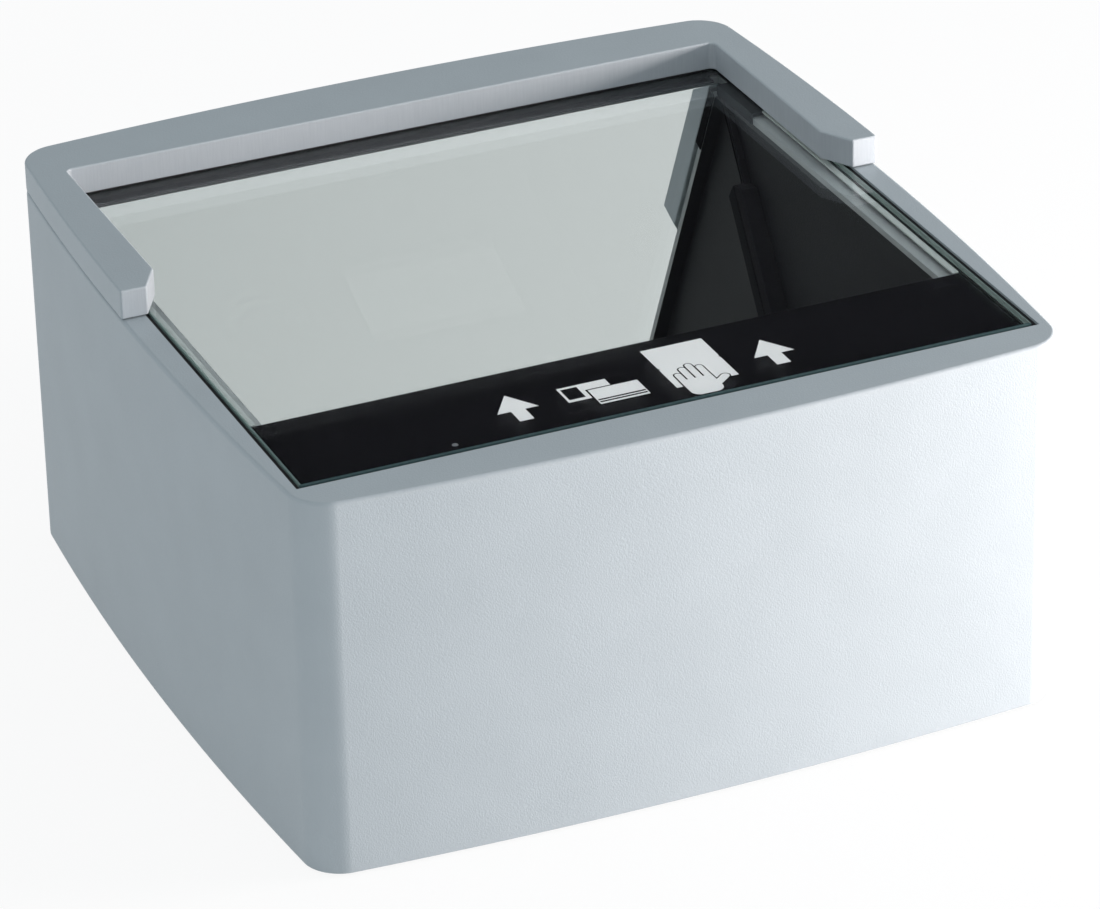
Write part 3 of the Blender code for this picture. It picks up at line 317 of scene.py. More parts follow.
# Each solid of the frame with its finish and its slot
looks = {}
for surface, slot, *names in (
    (paint, "shell_paint", "housing", "guide_frame"),
    (glass, "cover_glass", "cover_glass"),
    (film_black, "black_print", "mask_film"),
    (rubber, "gasket_rubber", "glass_gasket"),
    (rubber, "foot_rubber", *[name for name in nodes if name.startswith("foot_")]),
    (foam, "seal_foam", "left_ledge_pad", "right_ledge_pad"),
    (foam_painted_light, "seal_foam", "mirror_top_seal", "left_mirror_seal", "right_mirror_seal"),
    (silver, "mirror_silver", "mirror"),
    (charcoal, "charcoal_plastic", "left_baffle", "right_baffle", "front_bulkhead", "floor_panel"),
    (black_abs, "black_plastic", "mirror_carrier", "lens_holder", "power_jack"),
    (white_abs, "white_plastic", "left_reflector", "right_reflector", "usb_tongue"),
    (white_abs, "white_plastic", "front_cable_socket", "main_cable_socket"),
    (opal, "opal_plastic", "left_diffuser", "right_diffuser"),
    (clear_acrylic, "clear_plastic", "light_pipe"),
    (lamp_white, "lamp_board", "left_lamp_board", "right_lamp_board"),
    (diode_clear, "status_diode", "status_led"),
    (mask_green, "green_board", "front_board", "main_board"),
    (sensor_black, "sensor_ceramic", "image_sensor"),
    (lens_coated, "lens_glass", "lens_front_glass", "lens_rear_glass"),
    (anodised, "black_anodised", "lens_barrel", "lens_lock_ring", "lens_retainer"),
    (bright_steel, "screw_steel", *[name for name in nodes if "screw" in name]),
    (zinc_plate, "plated_steel", "base_plate", "left_mirror_stand", "right_mirror_stand", "usb_shell"),
    (brass, "pin_brass", "power_pin"),
    (can_metal, "can_aluminium", "capacitor"),
    (chip_black, "chip_black", "processor", "memory_chip"),
    (cable_white, "cable_white", "flat_cable"),
):
    looks.update(dict.fromkeys(names, (surface, slot)))


def make_active(obj):
    """Selects one object alone."""
    bpy.ops.object.select_all(action="DESELECT")
    obj.select_set(True)
    bpy.context.view_layer.objects.active = obj


def open_mesh(obj, action="DESELECT"):
    """Edit mode on one object, with nothing selected unless asked."""
    make_active(obj)
    bpy.ops.object.mode_set(mode="EDIT")
    bpy.ops.mesh.select_all(action=action)


def close_mesh():
    """Back to object mode."""
    bpy.ops.object.mode_set(mode="OBJECT")


def pick(obj, kind, test):
    """In edit mode, selects the vertices, edges or faces that pass a test."""
    bpy.ops.mesh.select_mode(type=kind)
    bpy.ops.mesh.select_all(action="DESELECT")
    mesh = bmesh.from_edit_mesh(obj.data)
    for item in {"VERT": mesh.verts, "EDGE": mesh.edges, "FACE": mesh.faces}[kind]:
        if test(item):
            item.select_set(True)
    mesh.select_flush_mode()
    bmesh.update_edit_mesh(obj.data)


def apply_modifier(obj, kind, **settings):
    """Adds a modifier with its settings and applies it."""
    make_active(obj)
    added = obj.modifiers.new(kind.lower(), kind)
    for name, value in settings.items():
        setattr(added, name, value)
    bpy.ops.object.modifier_apply(modifier=added.name)


def cut(obj, tool, operation="DIFFERENCE"):
    """Cuts a tool's shape out of a piece, or joins it on, and removes the tool."""
    apply_modifier(obj, "BOOLEAN", operation=operation, object=tool, solver="EXACT")
    bpy.data.objects.remove(tool)


def break_edges(obj, width=edge_break, segments=2, angle=40):
    """Rounds every sharp edge a little."""
    apply_modifier(
        obj, "BEVEL", width=width, segments=segments, limit_method="ANGLE", angle_limit=math.radians(angle)
    )


def add_object(name, data):
    """Puts new data into the scene as an object."""
    obj = bpy.data.objects.new(name, data)
    bpy.context.scene.collection.objects.link(obj)
    return obj


def settle(name):
    """Names the active object and fixes its place, turn and size in its mesh."""
    obj = bpy.context.object
    obj.name = name
    bpy.ops.object.transform_apply(location=True, rotation=True, scale=True)
    return obj


def add_box(name, low, high):
    """A box between two corners."""
    low, high = Vector(low), Vector(high)
    bpy.ops.object.select_all(action="DESELECT")
    bpy.ops.mesh.primitive_cube_add(size=1, location=(low + high) / 2, scale=high - low)
    return settle(name)


def add_drum(name, radius, start, end, sides=48):
    """A cylinder from one point to another."""
    start, end = Vector(start), Vector(end)
    way = end - start
    turn = way.to_track_quat("Z", "Y").to_euler()
    bpy.ops.object.select_all(action="DESELECT")
    bpy.ops.mesh.primitive_cylinder_add(
        vertices=sides, radius=radius, depth=way.length, location=(start + end) / 2, rotation=turn
    )
    return settle(name)


def add_flat(name, outline, low_z, high_z):
    """A flat outline given a thickness."""
    curve = bpy.data.curves.new(name, "CURVE")
    curve.dimensions = "2D"
    curve.fill_mode = "BOTH"
    curve.extrude = (high_z - low_z) / 2
    spline = curve.splines.new("POLY")
    spline.points.add(len(outline) - 1)
    for point, (x, y) in zip(spline.points, outline):
        point.co = (x, y, 0, 1)
    spline.use_cyclic_u = True
    make_active(add_object(name, curve))
    bpy.ops.object.convert(target="MESH")
    obj = put(bpy.context.object, (0, 0, (low_z + high_z) / 2))
    open_mesh(obj, "SELECT")
    bpy.ops.mesh.remove_doubles(threshold=0.001 * mm)
    close_mesh()
    outward(obj)
    return obj


def put(obj, place=(0, 0, 0), turn=(0, 0, 0)):
    """Turns a piece, moves it to its place, and fixes both in its mesh."""
    make_active(obj)
    obj.rotation_euler = turn
    obj.location = place
    return settle(obj.name)


def copy_of(obj, mirrored=False):
    """A copy with its own mesh, turned left for right if asked."""
    twin = add_object(obj.name, obj.data.copy())
    if mirrored:
        twin.scale = (-1, 1, 1)
        put(twin)
        outward(twin)
    return twin


def both_sides(piece):
    """The piece's mirror image and the piece, each with its side."""
    return ("left", copy_of(piece, True)), ("right", piece)


def outward(obj):
    """Turns every face outwards."""
    open_mesh(obj, "SELECT")
    bpy.ops.mesh.normals_make_consistent(inside=False)
    close_mesh()


def join(pieces):
    """Joins separate shapes into one piece."""
    make_active(pieces[0])
    for each in pieces:
        each.select_set(True)
    bpy.ops.object.join()
    return pieces[0]


def add_turned(name, steps, sides=48):
    """A turned shape about +Z, built up by steps of radius and height."""
    radius, low = steps[0]
    bpy.ops.object.select_all(action="DESELECT")
    bpy.ops.mesh.primitive_circle_add(vertices=sides, radius=radius, fill_type="NGON", location=(0, 0, low))
    obj = settle(name)
    open_mesh(obj, "SELECT")
    for wide, high in steps[1:]:
        bpy.ops.mesh.extrude_region_move(TRANSFORM_OT_translate={"value": (0, 0, high - low)})
        share = wide / radius
        bpy.ops.transform.resize(value=(share, share, 1), center_override=(0, 0, high))
        radius, low = wide, high
    close_mesh()
    outward(obj)
    return obj


def bore(obj, radius, start, end, sides):
    """Bores a turned piece along its axis, out through its end."""
    cut(obj, add_drum("bore", radius, (0, 0, start), (0, 0, end + overrun), sides))


def knurl(obj, radius, low_z, high_z):
    """Draws every other point round a turned band inwards."""

    def on_band(vert):
        turn = math.atan2(vert.co.y, vert.co.x) / (2 * math.pi) * knurl_sides
        inside = low_z + knurl_margin < vert.co.z < high_z - knurl_margin
        return inside and vert.co.xy.length > 0.99 * radius and round(turn) % 2 == 0

    open_mesh(obj)
    pick(obj, "VERT", on_band)
    bpy.ops.transform.resize(value=(groove_share, groove_share, 1), center_override=(0, 0, 0))
    close_mesh()


def add_cross(wide, slim, low_z, high_z):
    """Two crossed bars, to cut a recess with."""
    cross = add_box("cross", (-wide, -slim, low_z), (wide, slim, high_z))
    cut(cross, add_box("bar", (-slim, -wide, low_z), (slim, wide, high_z)), "UNION")
    return cross


def profile(radius, height, shares):
    """Steps of a turned shape, from shares of its radius and height."""
    return [(wide * radius, rise * height) for wide, rise in shares]


def middle_of(node):
    """The middle of a solid's box."""
    low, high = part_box(node)
    return (low + high) / 2


def size_along_y(node):
    """The radius, the length and the middle of the front end of a round solid whose axis runs to the rear."""
    low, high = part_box(node)
    middle = (low + high) / 2
    return (high.x - low.x) / 2, high.y - low.y, (middle.x, low.y, middle.z)


def refine(node, name, width=0.15 * mm):
    """A solid of the frame with its triangles joined into faces and its edges broken."""
    obj = add_object(name, nodes[node].data.copy())
    open_mesh(obj, "SELECT")
    bpy.ops.mesh.remove_doubles(threshold=0.005 * mm)
    bpy.ops.mesh.dissolve_limited(angle_limit=math.radians(1))
    close_mesh()
    break_edges(obj, width, 2, 35)
    finish_as(obj, name, node)


def finish(obj, name, surface, slot, stands_for=(), body="chassis", smooth=smooth_angle):
    """Names a piece, shades it, gives it its finish unless its faces have theirs already, hangs it on the
    body that it rides on, and hides the solids of the frame that it stands for."""
    make_active(obj)
    bpy.ops.object.shade_smooth_by_angle(angle=math.radians(smooth))
    apply_modifier(obj, "WEIGHTED_NORMAL", keep_sharp=True)
    obj.name = name
    if surface:
        obj.data.materials.clear()
        obj.data.materials.append(surface)
    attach(obj, body)
    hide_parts(*stands_for)


def finish_as(obj, name, node, body="chassis", smooth=smooth_angle):
    """Finishes a piece like the solid of the frame that it stands for."""
    finish(obj, name, *looks[node], [node], body, smooth)


def give_faces(obj, surfaces, choose):
    """Gives each face the surface whose number choose(face) returns."""
    obj.data.materials.clear()
    for each in surfaces:
        obj.data.materials.append(each)
    for face in obj.data.polygons:
        face.material_index = choose(face)


def bow_sag(along):
    """How far a bowed side falls back at a distance from its middle."""
    return bow_radius - math.sqrt(bow_radius * bow_radius - along * along)


def bowed_corner():
    """Where two bowed sides meet, as a share of the half width."""
    shift = bow_radius - half
    return (math.sqrt(2 * bow_radius * bow_radius - shift * shift) - shift) / (2 * half)


def add_plan(name, inset, low_z, high_z):
    """The bowed square with round corners, as a solid between two levels."""
    bpy.ops.object.select_all(action="DESELECT")
    side = 2 * (half - inset)
    bpy.ops.mesh.primitive_plane_add(size=side, location=(0, 0, low_z))
    obj = settle(name)
    open_mesh(obj, "SELECT")
    leg = corner_leg * (corner_radius - inset) / corner_radius
    bpy.ops.mesh.bevel(offset=leg, segments=corner_segments, affect="VERTICES")
    pick(obj, "EDGE", lambda edge: edge.calc_length() > side / 2)
    bpy.ops.mesh.subdivide(number_cuts=side_cuts)
    share = bowed_corner()
    mesh = bmesh.from_edit_mesh(obj.data)
    for vert in mesh.verts:
        x, y = vert.co.x, vert.co.y
        vert.co.x = x * (1 - bow_sag(y * share) / half)
        vert.co.y = y * (1 - bow_sag(x * share) / half)
    bmesh.update_edit_mesh(obj.data)
    bpy.ops.mesh.select_all(action="SELECT")
    bpy.ops.mesh.extrude_region_move(TRANSFORM_OT_translate={"value": (0, 0, high_z - low_z)})
    close_mesh()
    outward(obj)
    return obj


def round_level(obj, level, width, segments=4):
    """Rounds the outer edges that lie at one level."""
    open_mesh(obj)
    pick(obj, "EDGE", lambda edge: all(abs(v.co.z - level) < 0.01 * mm for v in edge.verts))
    bpy.ops.mesh.bevel(offset=width, segments=segments, affect="EDGES")
    close_mesh()


# Mirror and foam, along the mirror's own slope
mirror_thickness = 2.0 * mm
foam_start = 2.5 * mm
foam_lift = 0.3 * mm
foam_depth = 3.0 * mm
foam_thin = 0.5 * mm
foam_narrow = 1.5 * mm
foam_skin = 0.25 * mm
foam_slant = 1.5 * mm
foam_length_share = 0.70
top_seal_setback = 1.2 * mm

# Prints
print_layer = 0.03 * mm
finger_half = 0.61 * mm
hand_border = 0.26 * mm

# Steps of a foot: a share of its radius, and a height in mm
foot_steps = ((0.52, 0.35), (0.60, 0), (0.92, 0), (0.98, 0.12), (1, 0.4))

# Fasteners and lens; shares of a turned piece are of its radius and its height
to_rear = (-math.pi / 2, 0, 0)
thread_pitch = 0.7 * mm
screw_head_shares = ((0.30, 0), (0.62, 0.05), (0.86, 0.28), (0.98, 0.62), (1, 1))
screw_root_share = 0.8
screw_end_shares = (0.7, 0.3)
recess_shares = (0.52, 0.11)
recess_depth_share = 0.55
knurl_sides = 72
knurl_margin = 0.1 * mm
groove_share = 0.965
chamfer_share = 0.97
head_chamfer = 0.25 * mm
ring_chamfer = 0.2 * mm
barrel_radius = 6.0 * mm
barrel_tail = 10.0 * mm
barrel_bore = 4.8 * mm
barrel_mouth = 5.6 * mm
barrel_mouth_depth = 1.4 * mm
barrel_tip_share = 0.93
barrel_face_share = 0.88
lock_ring_bore = 6.3 * mm
retainer_bore = 4.0 * mm
retainer_shares = ((1, 0), (1, 0.7), (0.94, 1))
retainer_slot_half = 0.4 * mm
retainer_slot_share = 0.5
crown_share = 0.5
element_rounds = 10

# Lamps, contacts, chips and capacitor
lamp_board_thickness = 1.0 * mm
diode_columns = 4
diode_rows = 3
diode_side = 3.0 * mm
diode_base = 0.7 * mm
diode_dome = 0.5 * mm
dome_share = 0.42
dome_shares = ((1, 0), (0.93, 0.35), (0.72, 0.72), (0.4, 0.94), (0.05, 1))
contact_half = 0.5 * mm
contact_lift = 0.06 * mm
contact_inset_share = 0.27
contact_start = 3.0 * mm
contact_end = 0.5 * mm
pin_tip_shares = ((1, 0.9), (0.85, 0.4), (0.5, 0.1), (0.1, 0))
sensor_rim = 1.2 * mm
sensor_sink = 0.35 * mm
chip_lift = 0.15 * mm
chip_taper_share = 0.97
leg_reach = 1.0 * mm
leg_pitch = 1.0 * mm
leg_thickness = 0.12 * mm
leg_half_share = 0.32
leg_foot_share = 0.6
# Each step of a leg: a share of its reach, and a rise in mm
leg_steps = ((0.15, 0.35), (0.45, 0.05))
can_shares = (
    *((0.94, 0), (1, 0.06), (1, 0.16), (0.93, 0.2), (1, 0.24)),
    *((1, 0.95), (0.95, 1), (0.84, 1), (0.82, 0.985)),
)
vent_shares = (0.6, 0.05)
vent_floor_share = 0.965

# Gasket, tape and room round the glass
frame_clearance = 0.3 * mm
gasket_lap = 2.0 * mm
gasket_flange = 0.2 * mm
gasket_swell = 0.25 * mm
gasket_drop = 0.4 * mm
tape_inner_x = 65.9 * mm
tape_width = 1.2 * mm
well_gap = 0.9 * mm
window_front_margin = 0.2 * mm
window_rear_margin = 2.0 * mm
side_ledge_setback = 5.0 * mm

# Levels and places read from the frame
shell_low, shell_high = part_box("housing")
guide_low, guide_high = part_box("guide_frame")
pane_low, pane_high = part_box("cover_glass")
film_low, film_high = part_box("mask_film")
gasket_low, gasket_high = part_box("glass_gasket")
seal_low, seal_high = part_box("mirror_top_seal")
mirror_low, mirror_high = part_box("mirror")
mirror_way = max(nodes["mirror"].data.polygons, key=lambda face: face.area).normal
mirror_tilt = math.atan2(abs(mirror_way.y), abs(mirror_way.z))
mirror_foot = Vector((0, mirror_low.y, mirror_low.z + mirror_thickness * math.cos(mirror_tilt)))
mirror_length = (mirror_high.z - mirror_foot.z) / math.sin(mirror_tilt)
rim_z = shell_high.z
gasket_top_z = rim_z - gasket_drop
guide_base_z = rim_z + frame_gap
guide_back_y = half - guide_bar_depth
guide_tip_y = guide_back_y - guide_arm_length
peg_x = (guide_high.x + guide_clear_half) / 2 + peg_outset
peg_y = guide_tip_y + peg_place
peg_length = guide_base_z + peg_root - guide_low.z
ledge_low_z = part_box("right_baffle")[1].z + frame_clearance
ledge_top_z = gasket_low.z - frame_clearance
window_half = seal_high.x
well_half = pane_high.x + well_gap
mirror_window_half = gasket_high.x - gasket_lap
window_front_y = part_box("front_board")[1].y + window_front_margin
window_rear_y = pane_high.y - window_rear_margin
side_ledge_end_y = window_rear_y - side_ledge_setback


def corner_places(reach):
    """The four corners of a square, front left first."""
    return [(-reach, -reach), (reach, -reach), (-reach, reach), (reach, reach)]


def build_housing():
    """The moulded casing with its rim, glass well, light window and socket openings."""
    shell = add_plan("housing", 0, shell_low.z, rim_z)
    round_level(shell, rim_z, rim_round)
    round_level(shell, shell_low.z, edge_break, 2)
    cut(shell, add_plan("cavity", shell_wall, shell_low.z - overrun, ledge_low_z))
    low = (pane_low.x - well_gap, pane_low.y - well_gap, ledge_top_z)
    high = (pane_high.x + well_gap, pane_high.y + well_gap, rim_z + overrun)
    cut(shell, add_box("well", low, high))
    low = (-window_half, window_front_y, ledge_low_z - overrun)
    cut(shell, add_box("window", low, (window_half, window_rear_y, ledge_top_z + overrun)))
    low = (-mirror_window_half, side_ledge_end_y, ledge_low_z - overrun)
    cut(shell, add_box("mirror_window", low, (mirror_window_half, window_rear_y, ledge_top_z + overrun)))
    margin = Vector((frame_clearance, 0, frame_clearance))
    for node in ("usb_shell", "power_jack"):
        low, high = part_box(node)
        cut(shell, add_box("socket_window", low - margin, high + margin + Vector((0, half, 0))))
    low_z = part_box("front_bulkhead")[0].z
    places = corner_places(boss_place)
    boss_top_z = ledge_low_z + overrun / 2
    bosses = [add_drum("boss", boss_radius, (x, y, low_z), (x, y, boss_top_z)) for x, y in places]
    through_z = rim_z + overrun
    holes = [(x, y, boss_hole_radius, low_z - overrun, low_z + boss_hole_depth) for x, y in places]
    for side, word in ((-1, "left"), (1, "right")):
        x, y = middle_of("frame_screw_" + word).xy
        holes.append((x, y, frame_hole_radius, ledge_low_z - overrun, through_z))
        holes.append((side * peg_x, peg_y, peg_hole_radius, guide_low.z - frame_clearance, through_z))
    drills = [add_drum("hole", radius, (x, y, start), (x, y, end), 24) for x, y, radius, start, end in holes]
    cut(shell, join(bosses), "UNION")
    cut(shell, join(drills))
    break_edges(shell, 0.15 * mm, 2, 50)

    def surface_of(face):
        x, y, z = face.center
        at_boss = any(math.hypot(x - a, y - b) < boss_radius + hair_gap for a, b in places)
        inward = face.normal.x * x + face.normal.y * y < 0 and abs(face.normal.z) < 0.7
        ceiling = face.normal.z < -0.7 and z > low_z
        hidden = shell_low.z + edge_break < z < ledge_low_z + hair_gap
        if hidden and (at_boss or inward or ceiling):
            return 1
        # The ledge under the glass takes the well's satin coat, whose darker grey is painted shade
        at_ledge = ledge_low_z + hair_gap < z < ledge_top_z + hair_gap
        return 2 if at_ledge and max(abs(x), abs(y)) < well_half else 0

    give_faces(shell, [paint, charcoal, satin], surface_of)
    finish(shell, "painted_housing", None, "shell_paint", ["housing"])


def build_guide_frame():
    """The U-shaped frame that squares a page up, with milled inner walls and arm ends."""
    guide = add_plan("guide", 0, guide_base_z, guide_high.z)
    round_level(guide, guide_high.z, frame_round)
    round_level(guide, guide_base_z, frame_round, 3)
    low = (-half - overrun, -half - overrun, guide_base_z - overrun)
    cut(guide, add_box("front", low, (half + overrun, guide_tip_y, guide_high.z + overrun)))
    wide = guide_clear_half + arm_chamfer_across
    turn_x = guide_clear_half - bay_corner_radius
    turn_y = guide_back_y - bay_corner_radius
    bay = [
        *arc(-turn_x, turn_y, bay_corner_radius, 90, 180, 8),
        (-guide_clear_half, guide_tip_y + arm_chamfer_along),
        (-wide, guide_tip_y),
        (-wide, guide_tip_y - overrun),
        (wide, guide_tip_y - overrun),
        (wide, guide_tip_y),
        (guide_clear_half, guide_tip_y + arm_chamfer_along),
        *arc(turn_x, turn_y, bay_corner_radius, 0, 90, 8),
    ]
    cut(guide, add_flat("bay", bay, guide_base_z - overrun, guide_high.z + overrun))
    break_edges(guide, frame_round, 3, 40)
    pegs = []
    for side in (-1, 1):
        steps = [(peg_tip_share * peg_radius, 0), (peg_radius, peg_tip), (peg_radius, peg_length)]
        peg = add_turned("peg", steps, 24)
        pegs.append(put(peg, (side * peg_x, peg_y, guide_low.z)))
    cut(guide, join(pegs), "UNION")
    inner = wide + 0.1 * mm

    def surface_of(face):
        upright = abs(face.normal.z) < 0.3
        inside = abs(face.center.x) < inner and face.center.y < guide_back_y + 0.1 * mm
        end = face.center.y < guide_tip_y + 0.1 * mm
        return 1 if upright and (inside or end) else 0

    give_faces(guide, [paint, milled], surface_of)
    finish(guide, "painted_guide_frame", None, "shell_paint", ["guide_frame"])
    # A black rubber strip under the rear bar: partly a seal, partly painted shadow for the gap between frame
    # and glass
    low = (-turn_x, guide_back_y + hair_gap, rim_z + hair_gap / 2)
    strip = add_box("strip", low, (turn_x, guide_back_y + frame_shadow_line_width, guide_base_z - hair_gap / 2))
    break_edges(strip, 0.04 * mm, 1)
    finish(strip, "guide_frame_shadow_line", rubber, "gasket_rubber")


def build_glass():
    """The cover glass with seamed edges, the rubber line round it and the tape that it lies on."""
    pane = add_box("pane", pane_low, pane_high)
    break_edges(pane, 0.35 * mm, 2)
    middle_z = (pane_low.z + pane_high.z) / 2
    face_half = (pane_high.z - pane_low.z) / 2 - 0.01 * mm

    def surface_of(face):
        if abs(face.center.z - middle_z) > face_half:
            return 0
        return 2 if face.center.y < film_high.y else 1

    give_faces(pane, [glass, glass_edge, print_edge], surface_of)
    finish(pane, "cover_glass_pane", None, "cover_glass", ["cover_glass"])
    swell = Vector((gasket_swell, gasket_swell, 0))
    line_high = gasket_high + swell
    line_high.z = gasket_top_z
    line = add_box("line", gasket_low - swell, line_high)
    margin = Vector((hair_gap, hair_gap, 0))
    seat_low = pane_low - margin
    seat_low.z = gasket_low.z + gasket_flange
    cut(line, add_box("seat", seat_low, pane_high + margin + Vector((0, 0, overrun))))
    inner = Vector((gasket_lap, gasket_lap, 0))
    reach = Vector((0, 0, overrun))
    cut(line, add_box("flange_window", gasket_low + inner - reach, gasket_high - inner + reach))
    break_edges(line, 0.06 * mm, 1)
    finish_as(line, "glass_gasket_line", "glass_gasket")
    pad_front_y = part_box("right_ledge_pad")[0].y
    low = (tape_inner_x, film_high.y + hair_gap, film_high.z - 0.1 * mm)
    strip = add_box("right_glass_tape", low, (tape_inner_x + tape_width, pad_front_y, pane_low.z - hair_gap))
    break_edges(strip, 0.08 * mm, 2)
    for side, piece in both_sides(strip):
        finish(piece, side + "_glass_tape", tape, "cover_glass")


def arrow_outline(x):
    """A plain arrow that points to the rear."""
    y, length, head, wing, stem = -45.4 * mm, 9.8 * mm, 5.9 * mm, 3.8 * mm, 1.3 * mm
    left = [(x - stem, y - length), (x - stem, y - head), (x - wing, y - head)]
    return [(x, y), (x + wing, y - head), (x + stem, y - head), (x + stem, y - length), *left]


def box_outline(low_x, low_y, high_x, high_y):
    """A rectangle's outline, from its sides in mm."""
    low_x, low_y, high_x, high_y = [side * mm for side in (low_x, low_y, high_x, high_y)]
    return [(low_x, low_y), (high_x, low_y), (high_x, high_y), (low_x, high_y)]


def arc(x, y, radius, start, end, steps):
    """Points round a centre, from one angle to another in degrees."""
    turns = [math.radians(start + (end - start) * i / steps) for i in range(steps + 1)]
    return [(x + radius * math.cos(turn), y + radius * math.sin(turn)) for turn in turns]


def capsule(start, end, radius):
    """A bar with round ends, from one point to another."""
    way = math.degrees(math.atan2(end[1] - start[1], end[0] - start[0]))
    return arc(*start, radius, way + 90, way + 270, 10) + arc(*end, radius, way - 90, way + 90, 10)


def add_hand(name, grow, low_z, high_z):
    """An open hand seen from above, fingers to the rear and thumb to the right, swollen by a margin."""
    palm = [
        *arc(9.4 * mm, -58.0 * mm, 1.75 * mm + grow, -80, 0, 6),
        (11.05 * mm + grow, -53.6 * mm + grow),
        (5.1 * mm - grow, -53.6 * mm + grow),
        *arc(6.85 * mm, -58.0 * mm, 1.75 * mm + grow, 180, 260, 6),
    ]
    hand = add_flat(name, palm, low_z, high_z)
    thumb = capsule((9.6 * mm, -57.9 * mm), (13.0 * mm, -55.1 * mm), 0.75 * mm + grow)
    bars = [thumb]
    for x, tip_y in ((5.75, -51.5), (7.3, -49.8), (8.85, -48.9), (10.4, -50.1)):
        bars.append(capsule((x * mm, -54.5 * mm), (x * mm, tip_y * mm), finger_half + grow))
    for bar in bars:
        cut(hand, add_flat("bar", bar, low_z, high_z), "UNION")
    return hand


def build_film():
    """The black film and its pictograms: two arrows, two cards, and an open hand on an open booklet."""
    film = add_box("film", film_low, film_high)
    break_edges(film, 0.03 * mm, 1)
    finish_as(film, "mask_film_print", "mask_film")
    arrows = [arrow_outline(tip_x * mm) for tip_x in (-23.9, 24.1)]
    stripes = [box_outline(-10.2, y - 0.2, -1.4, y + 0.2) for y in (-53.95, -54.75)]
    left, right, middle, notch = 3.7 * mm, 15.3 * mm, -48.0 * mm, 0.35 * mm
    top, bottom = -40.4 * mm, -55.6 * mm
    left_side = [(left, top), (left, middle + notch), (left + notch, middle), (left, middle - notch)]
    right_side = [(right, middle - notch), (right - notch, middle), (right, middle + notch), (right, top)]
    booklet = [*left_side, (left, bottom), (right, bottom), *right_side]
    dot = arc(-38.35 * mm, -58.2 * mm, 0.55 * mm, 0, 345, 23)

    def levels(number):
        return film_high.z + number * print_layer, film_high.z + (number + 1) * print_layer

    def lay(name, shape, surface):
        finish(shape, name, surface, "white_plastic" if surface is ink else "black_print")

    for name, outline, level, surface in (
        ("left_arrow_print", arrows[0], 0, ink),
        ("right_arrow_print", arrows[1], 0, ink),
        ("rear_card_print", box_outline(-15.05, -52.6, -6.0, -47.1), 0, ink),
        ("card_picture_print", box_outline(-14.6, -51.8, -11.6, -47.8), 1, film_black),
        ("card_border_print", box_outline(-10.75, -55.85, -0.85, -49.55), 1, film_black),
        ("front_card_print", box_outline(-10.4, -55.5, -1.2, -49.9), 2, ink),
        ("upper_stripe_print", stripes[0], 3, film_black),
        ("lower_stripe_print", stripes[1], 3, film_black),
        ("booklet_print", booklet, 0, ink),
    ):
        lay(name, add_flat(name, outline, *levels(level)), surface)
    lay("hand_border_print", add_hand("hand", hand_border, *levels(1)), film_black)
    lay("hand_print", add_hand("hand", 0, *levels(2)), ink)
    lay("status_window_print", add_flat("dot", dot, *levels(0)), dot_grey)


def build_mirror():
    """The tilted mirror: a ground glass plate with a silvered face and a lacquered back."""
    reach = mirror_high.x
    plate = add_box("mirror_plate", (-reach, 0, -mirror_thickness), (reach, mirror_length, 0))
    break_edges(plate, 0.3 * mm, 2)

    def surface_of(face):
        if face.normal.z > 0.9:
            return 0
        return 2 if face.normal.z < -0.9 else 1

    give_faces(plate, [silver, glass_edge, lacquer], surface_of)
    put(plate, mirror_foot, (mirror_tilt, 0, 0))
    finish(plate, "mirror_plate", None, "mirror_silver", ["mirror"])


def build_foam():
    """Die-cut foam: above the mirror, on the ledge's rear corners and beside the mirror."""
    low = Vector((seal_low.x, seal_low.y + top_seal_setback, seal_low.z))
    finish_foam(add_box("strip", low, seal_high), "mirror_top_foam", "mirror_top_seal")
    low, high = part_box("right_ledge_pad")
    inner_x, outer_x = window_half - 1.2 * foam_skin, window_half - 0.2 * foam_skin
    pad = add_box("pad", (inner_x, low.y, low.z), high)
    lip = add_box("lip", (inner_x, low.y, ledge_low_z + hair_gap), (outer_x, high.y, low.z + foam_skin))
    cut(pad, lip, "UNION")
    for side, piece in both_sides(pad):
        finish_foam(piece, side + "_ledge_foam", side + "_ledge_pad")
    low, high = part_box("right_mirror_seal")
    top = foam_length_share * mirror_length
    wide = add_box("wide", (low.x, foam_start, foam_lift), (high.x, top, foam_lift + foam_depth))

    def at_upper_end(edge):
        return all(v.co.z > 2 * foam_lift and v.co.y > top - hair_gap for v in edge.verts)

    open_mesh(wide)
    pick(wide, "EDGE", at_upper_end)
    bpy.ops.transform.translate(value=(0, -foam_slant, 0))
    close_mesh()
    low = (high.x - foam_narrow, top - foam_slant, foam_lift)
    high = (high.x - hair_gap, mirror_length - foam_slant, foam_lift + foam_thin)
    cut(wide, add_box("narrow", low, high), "UNION")
    put(wide, mirror_foot, (mirror_tilt, 0, 0))
    for side, piece in both_sides(wide):
        finish_foam(piece, side + "_mirror_foam", side + "_mirror_seal")


def finish_foam(piece, name, node):
    break_edges(piece, 0.12 * mm, 2)
    finish_as(piece, name, node)


def build_feet():
    """Rubber feet: round, with a rounded edge and a shallow recess."""
    low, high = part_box("foot_front_left")
    radius = (high.x - low.x) / 2
    steps = [(share * radius, rise * mm) for share, rise in foot_steps]
    foot = add_turned("foot", [*steps, (radius, high.z)], 64)
    for node in [name for name in nodes if name.startswith("foot_")]:
        middle = middle_of(node)
        finish_as(put(copy_of(foot), (middle.x, middle.y, 0)), "rubber_" + node, node)
    bpy.data.objects.remove(foot)


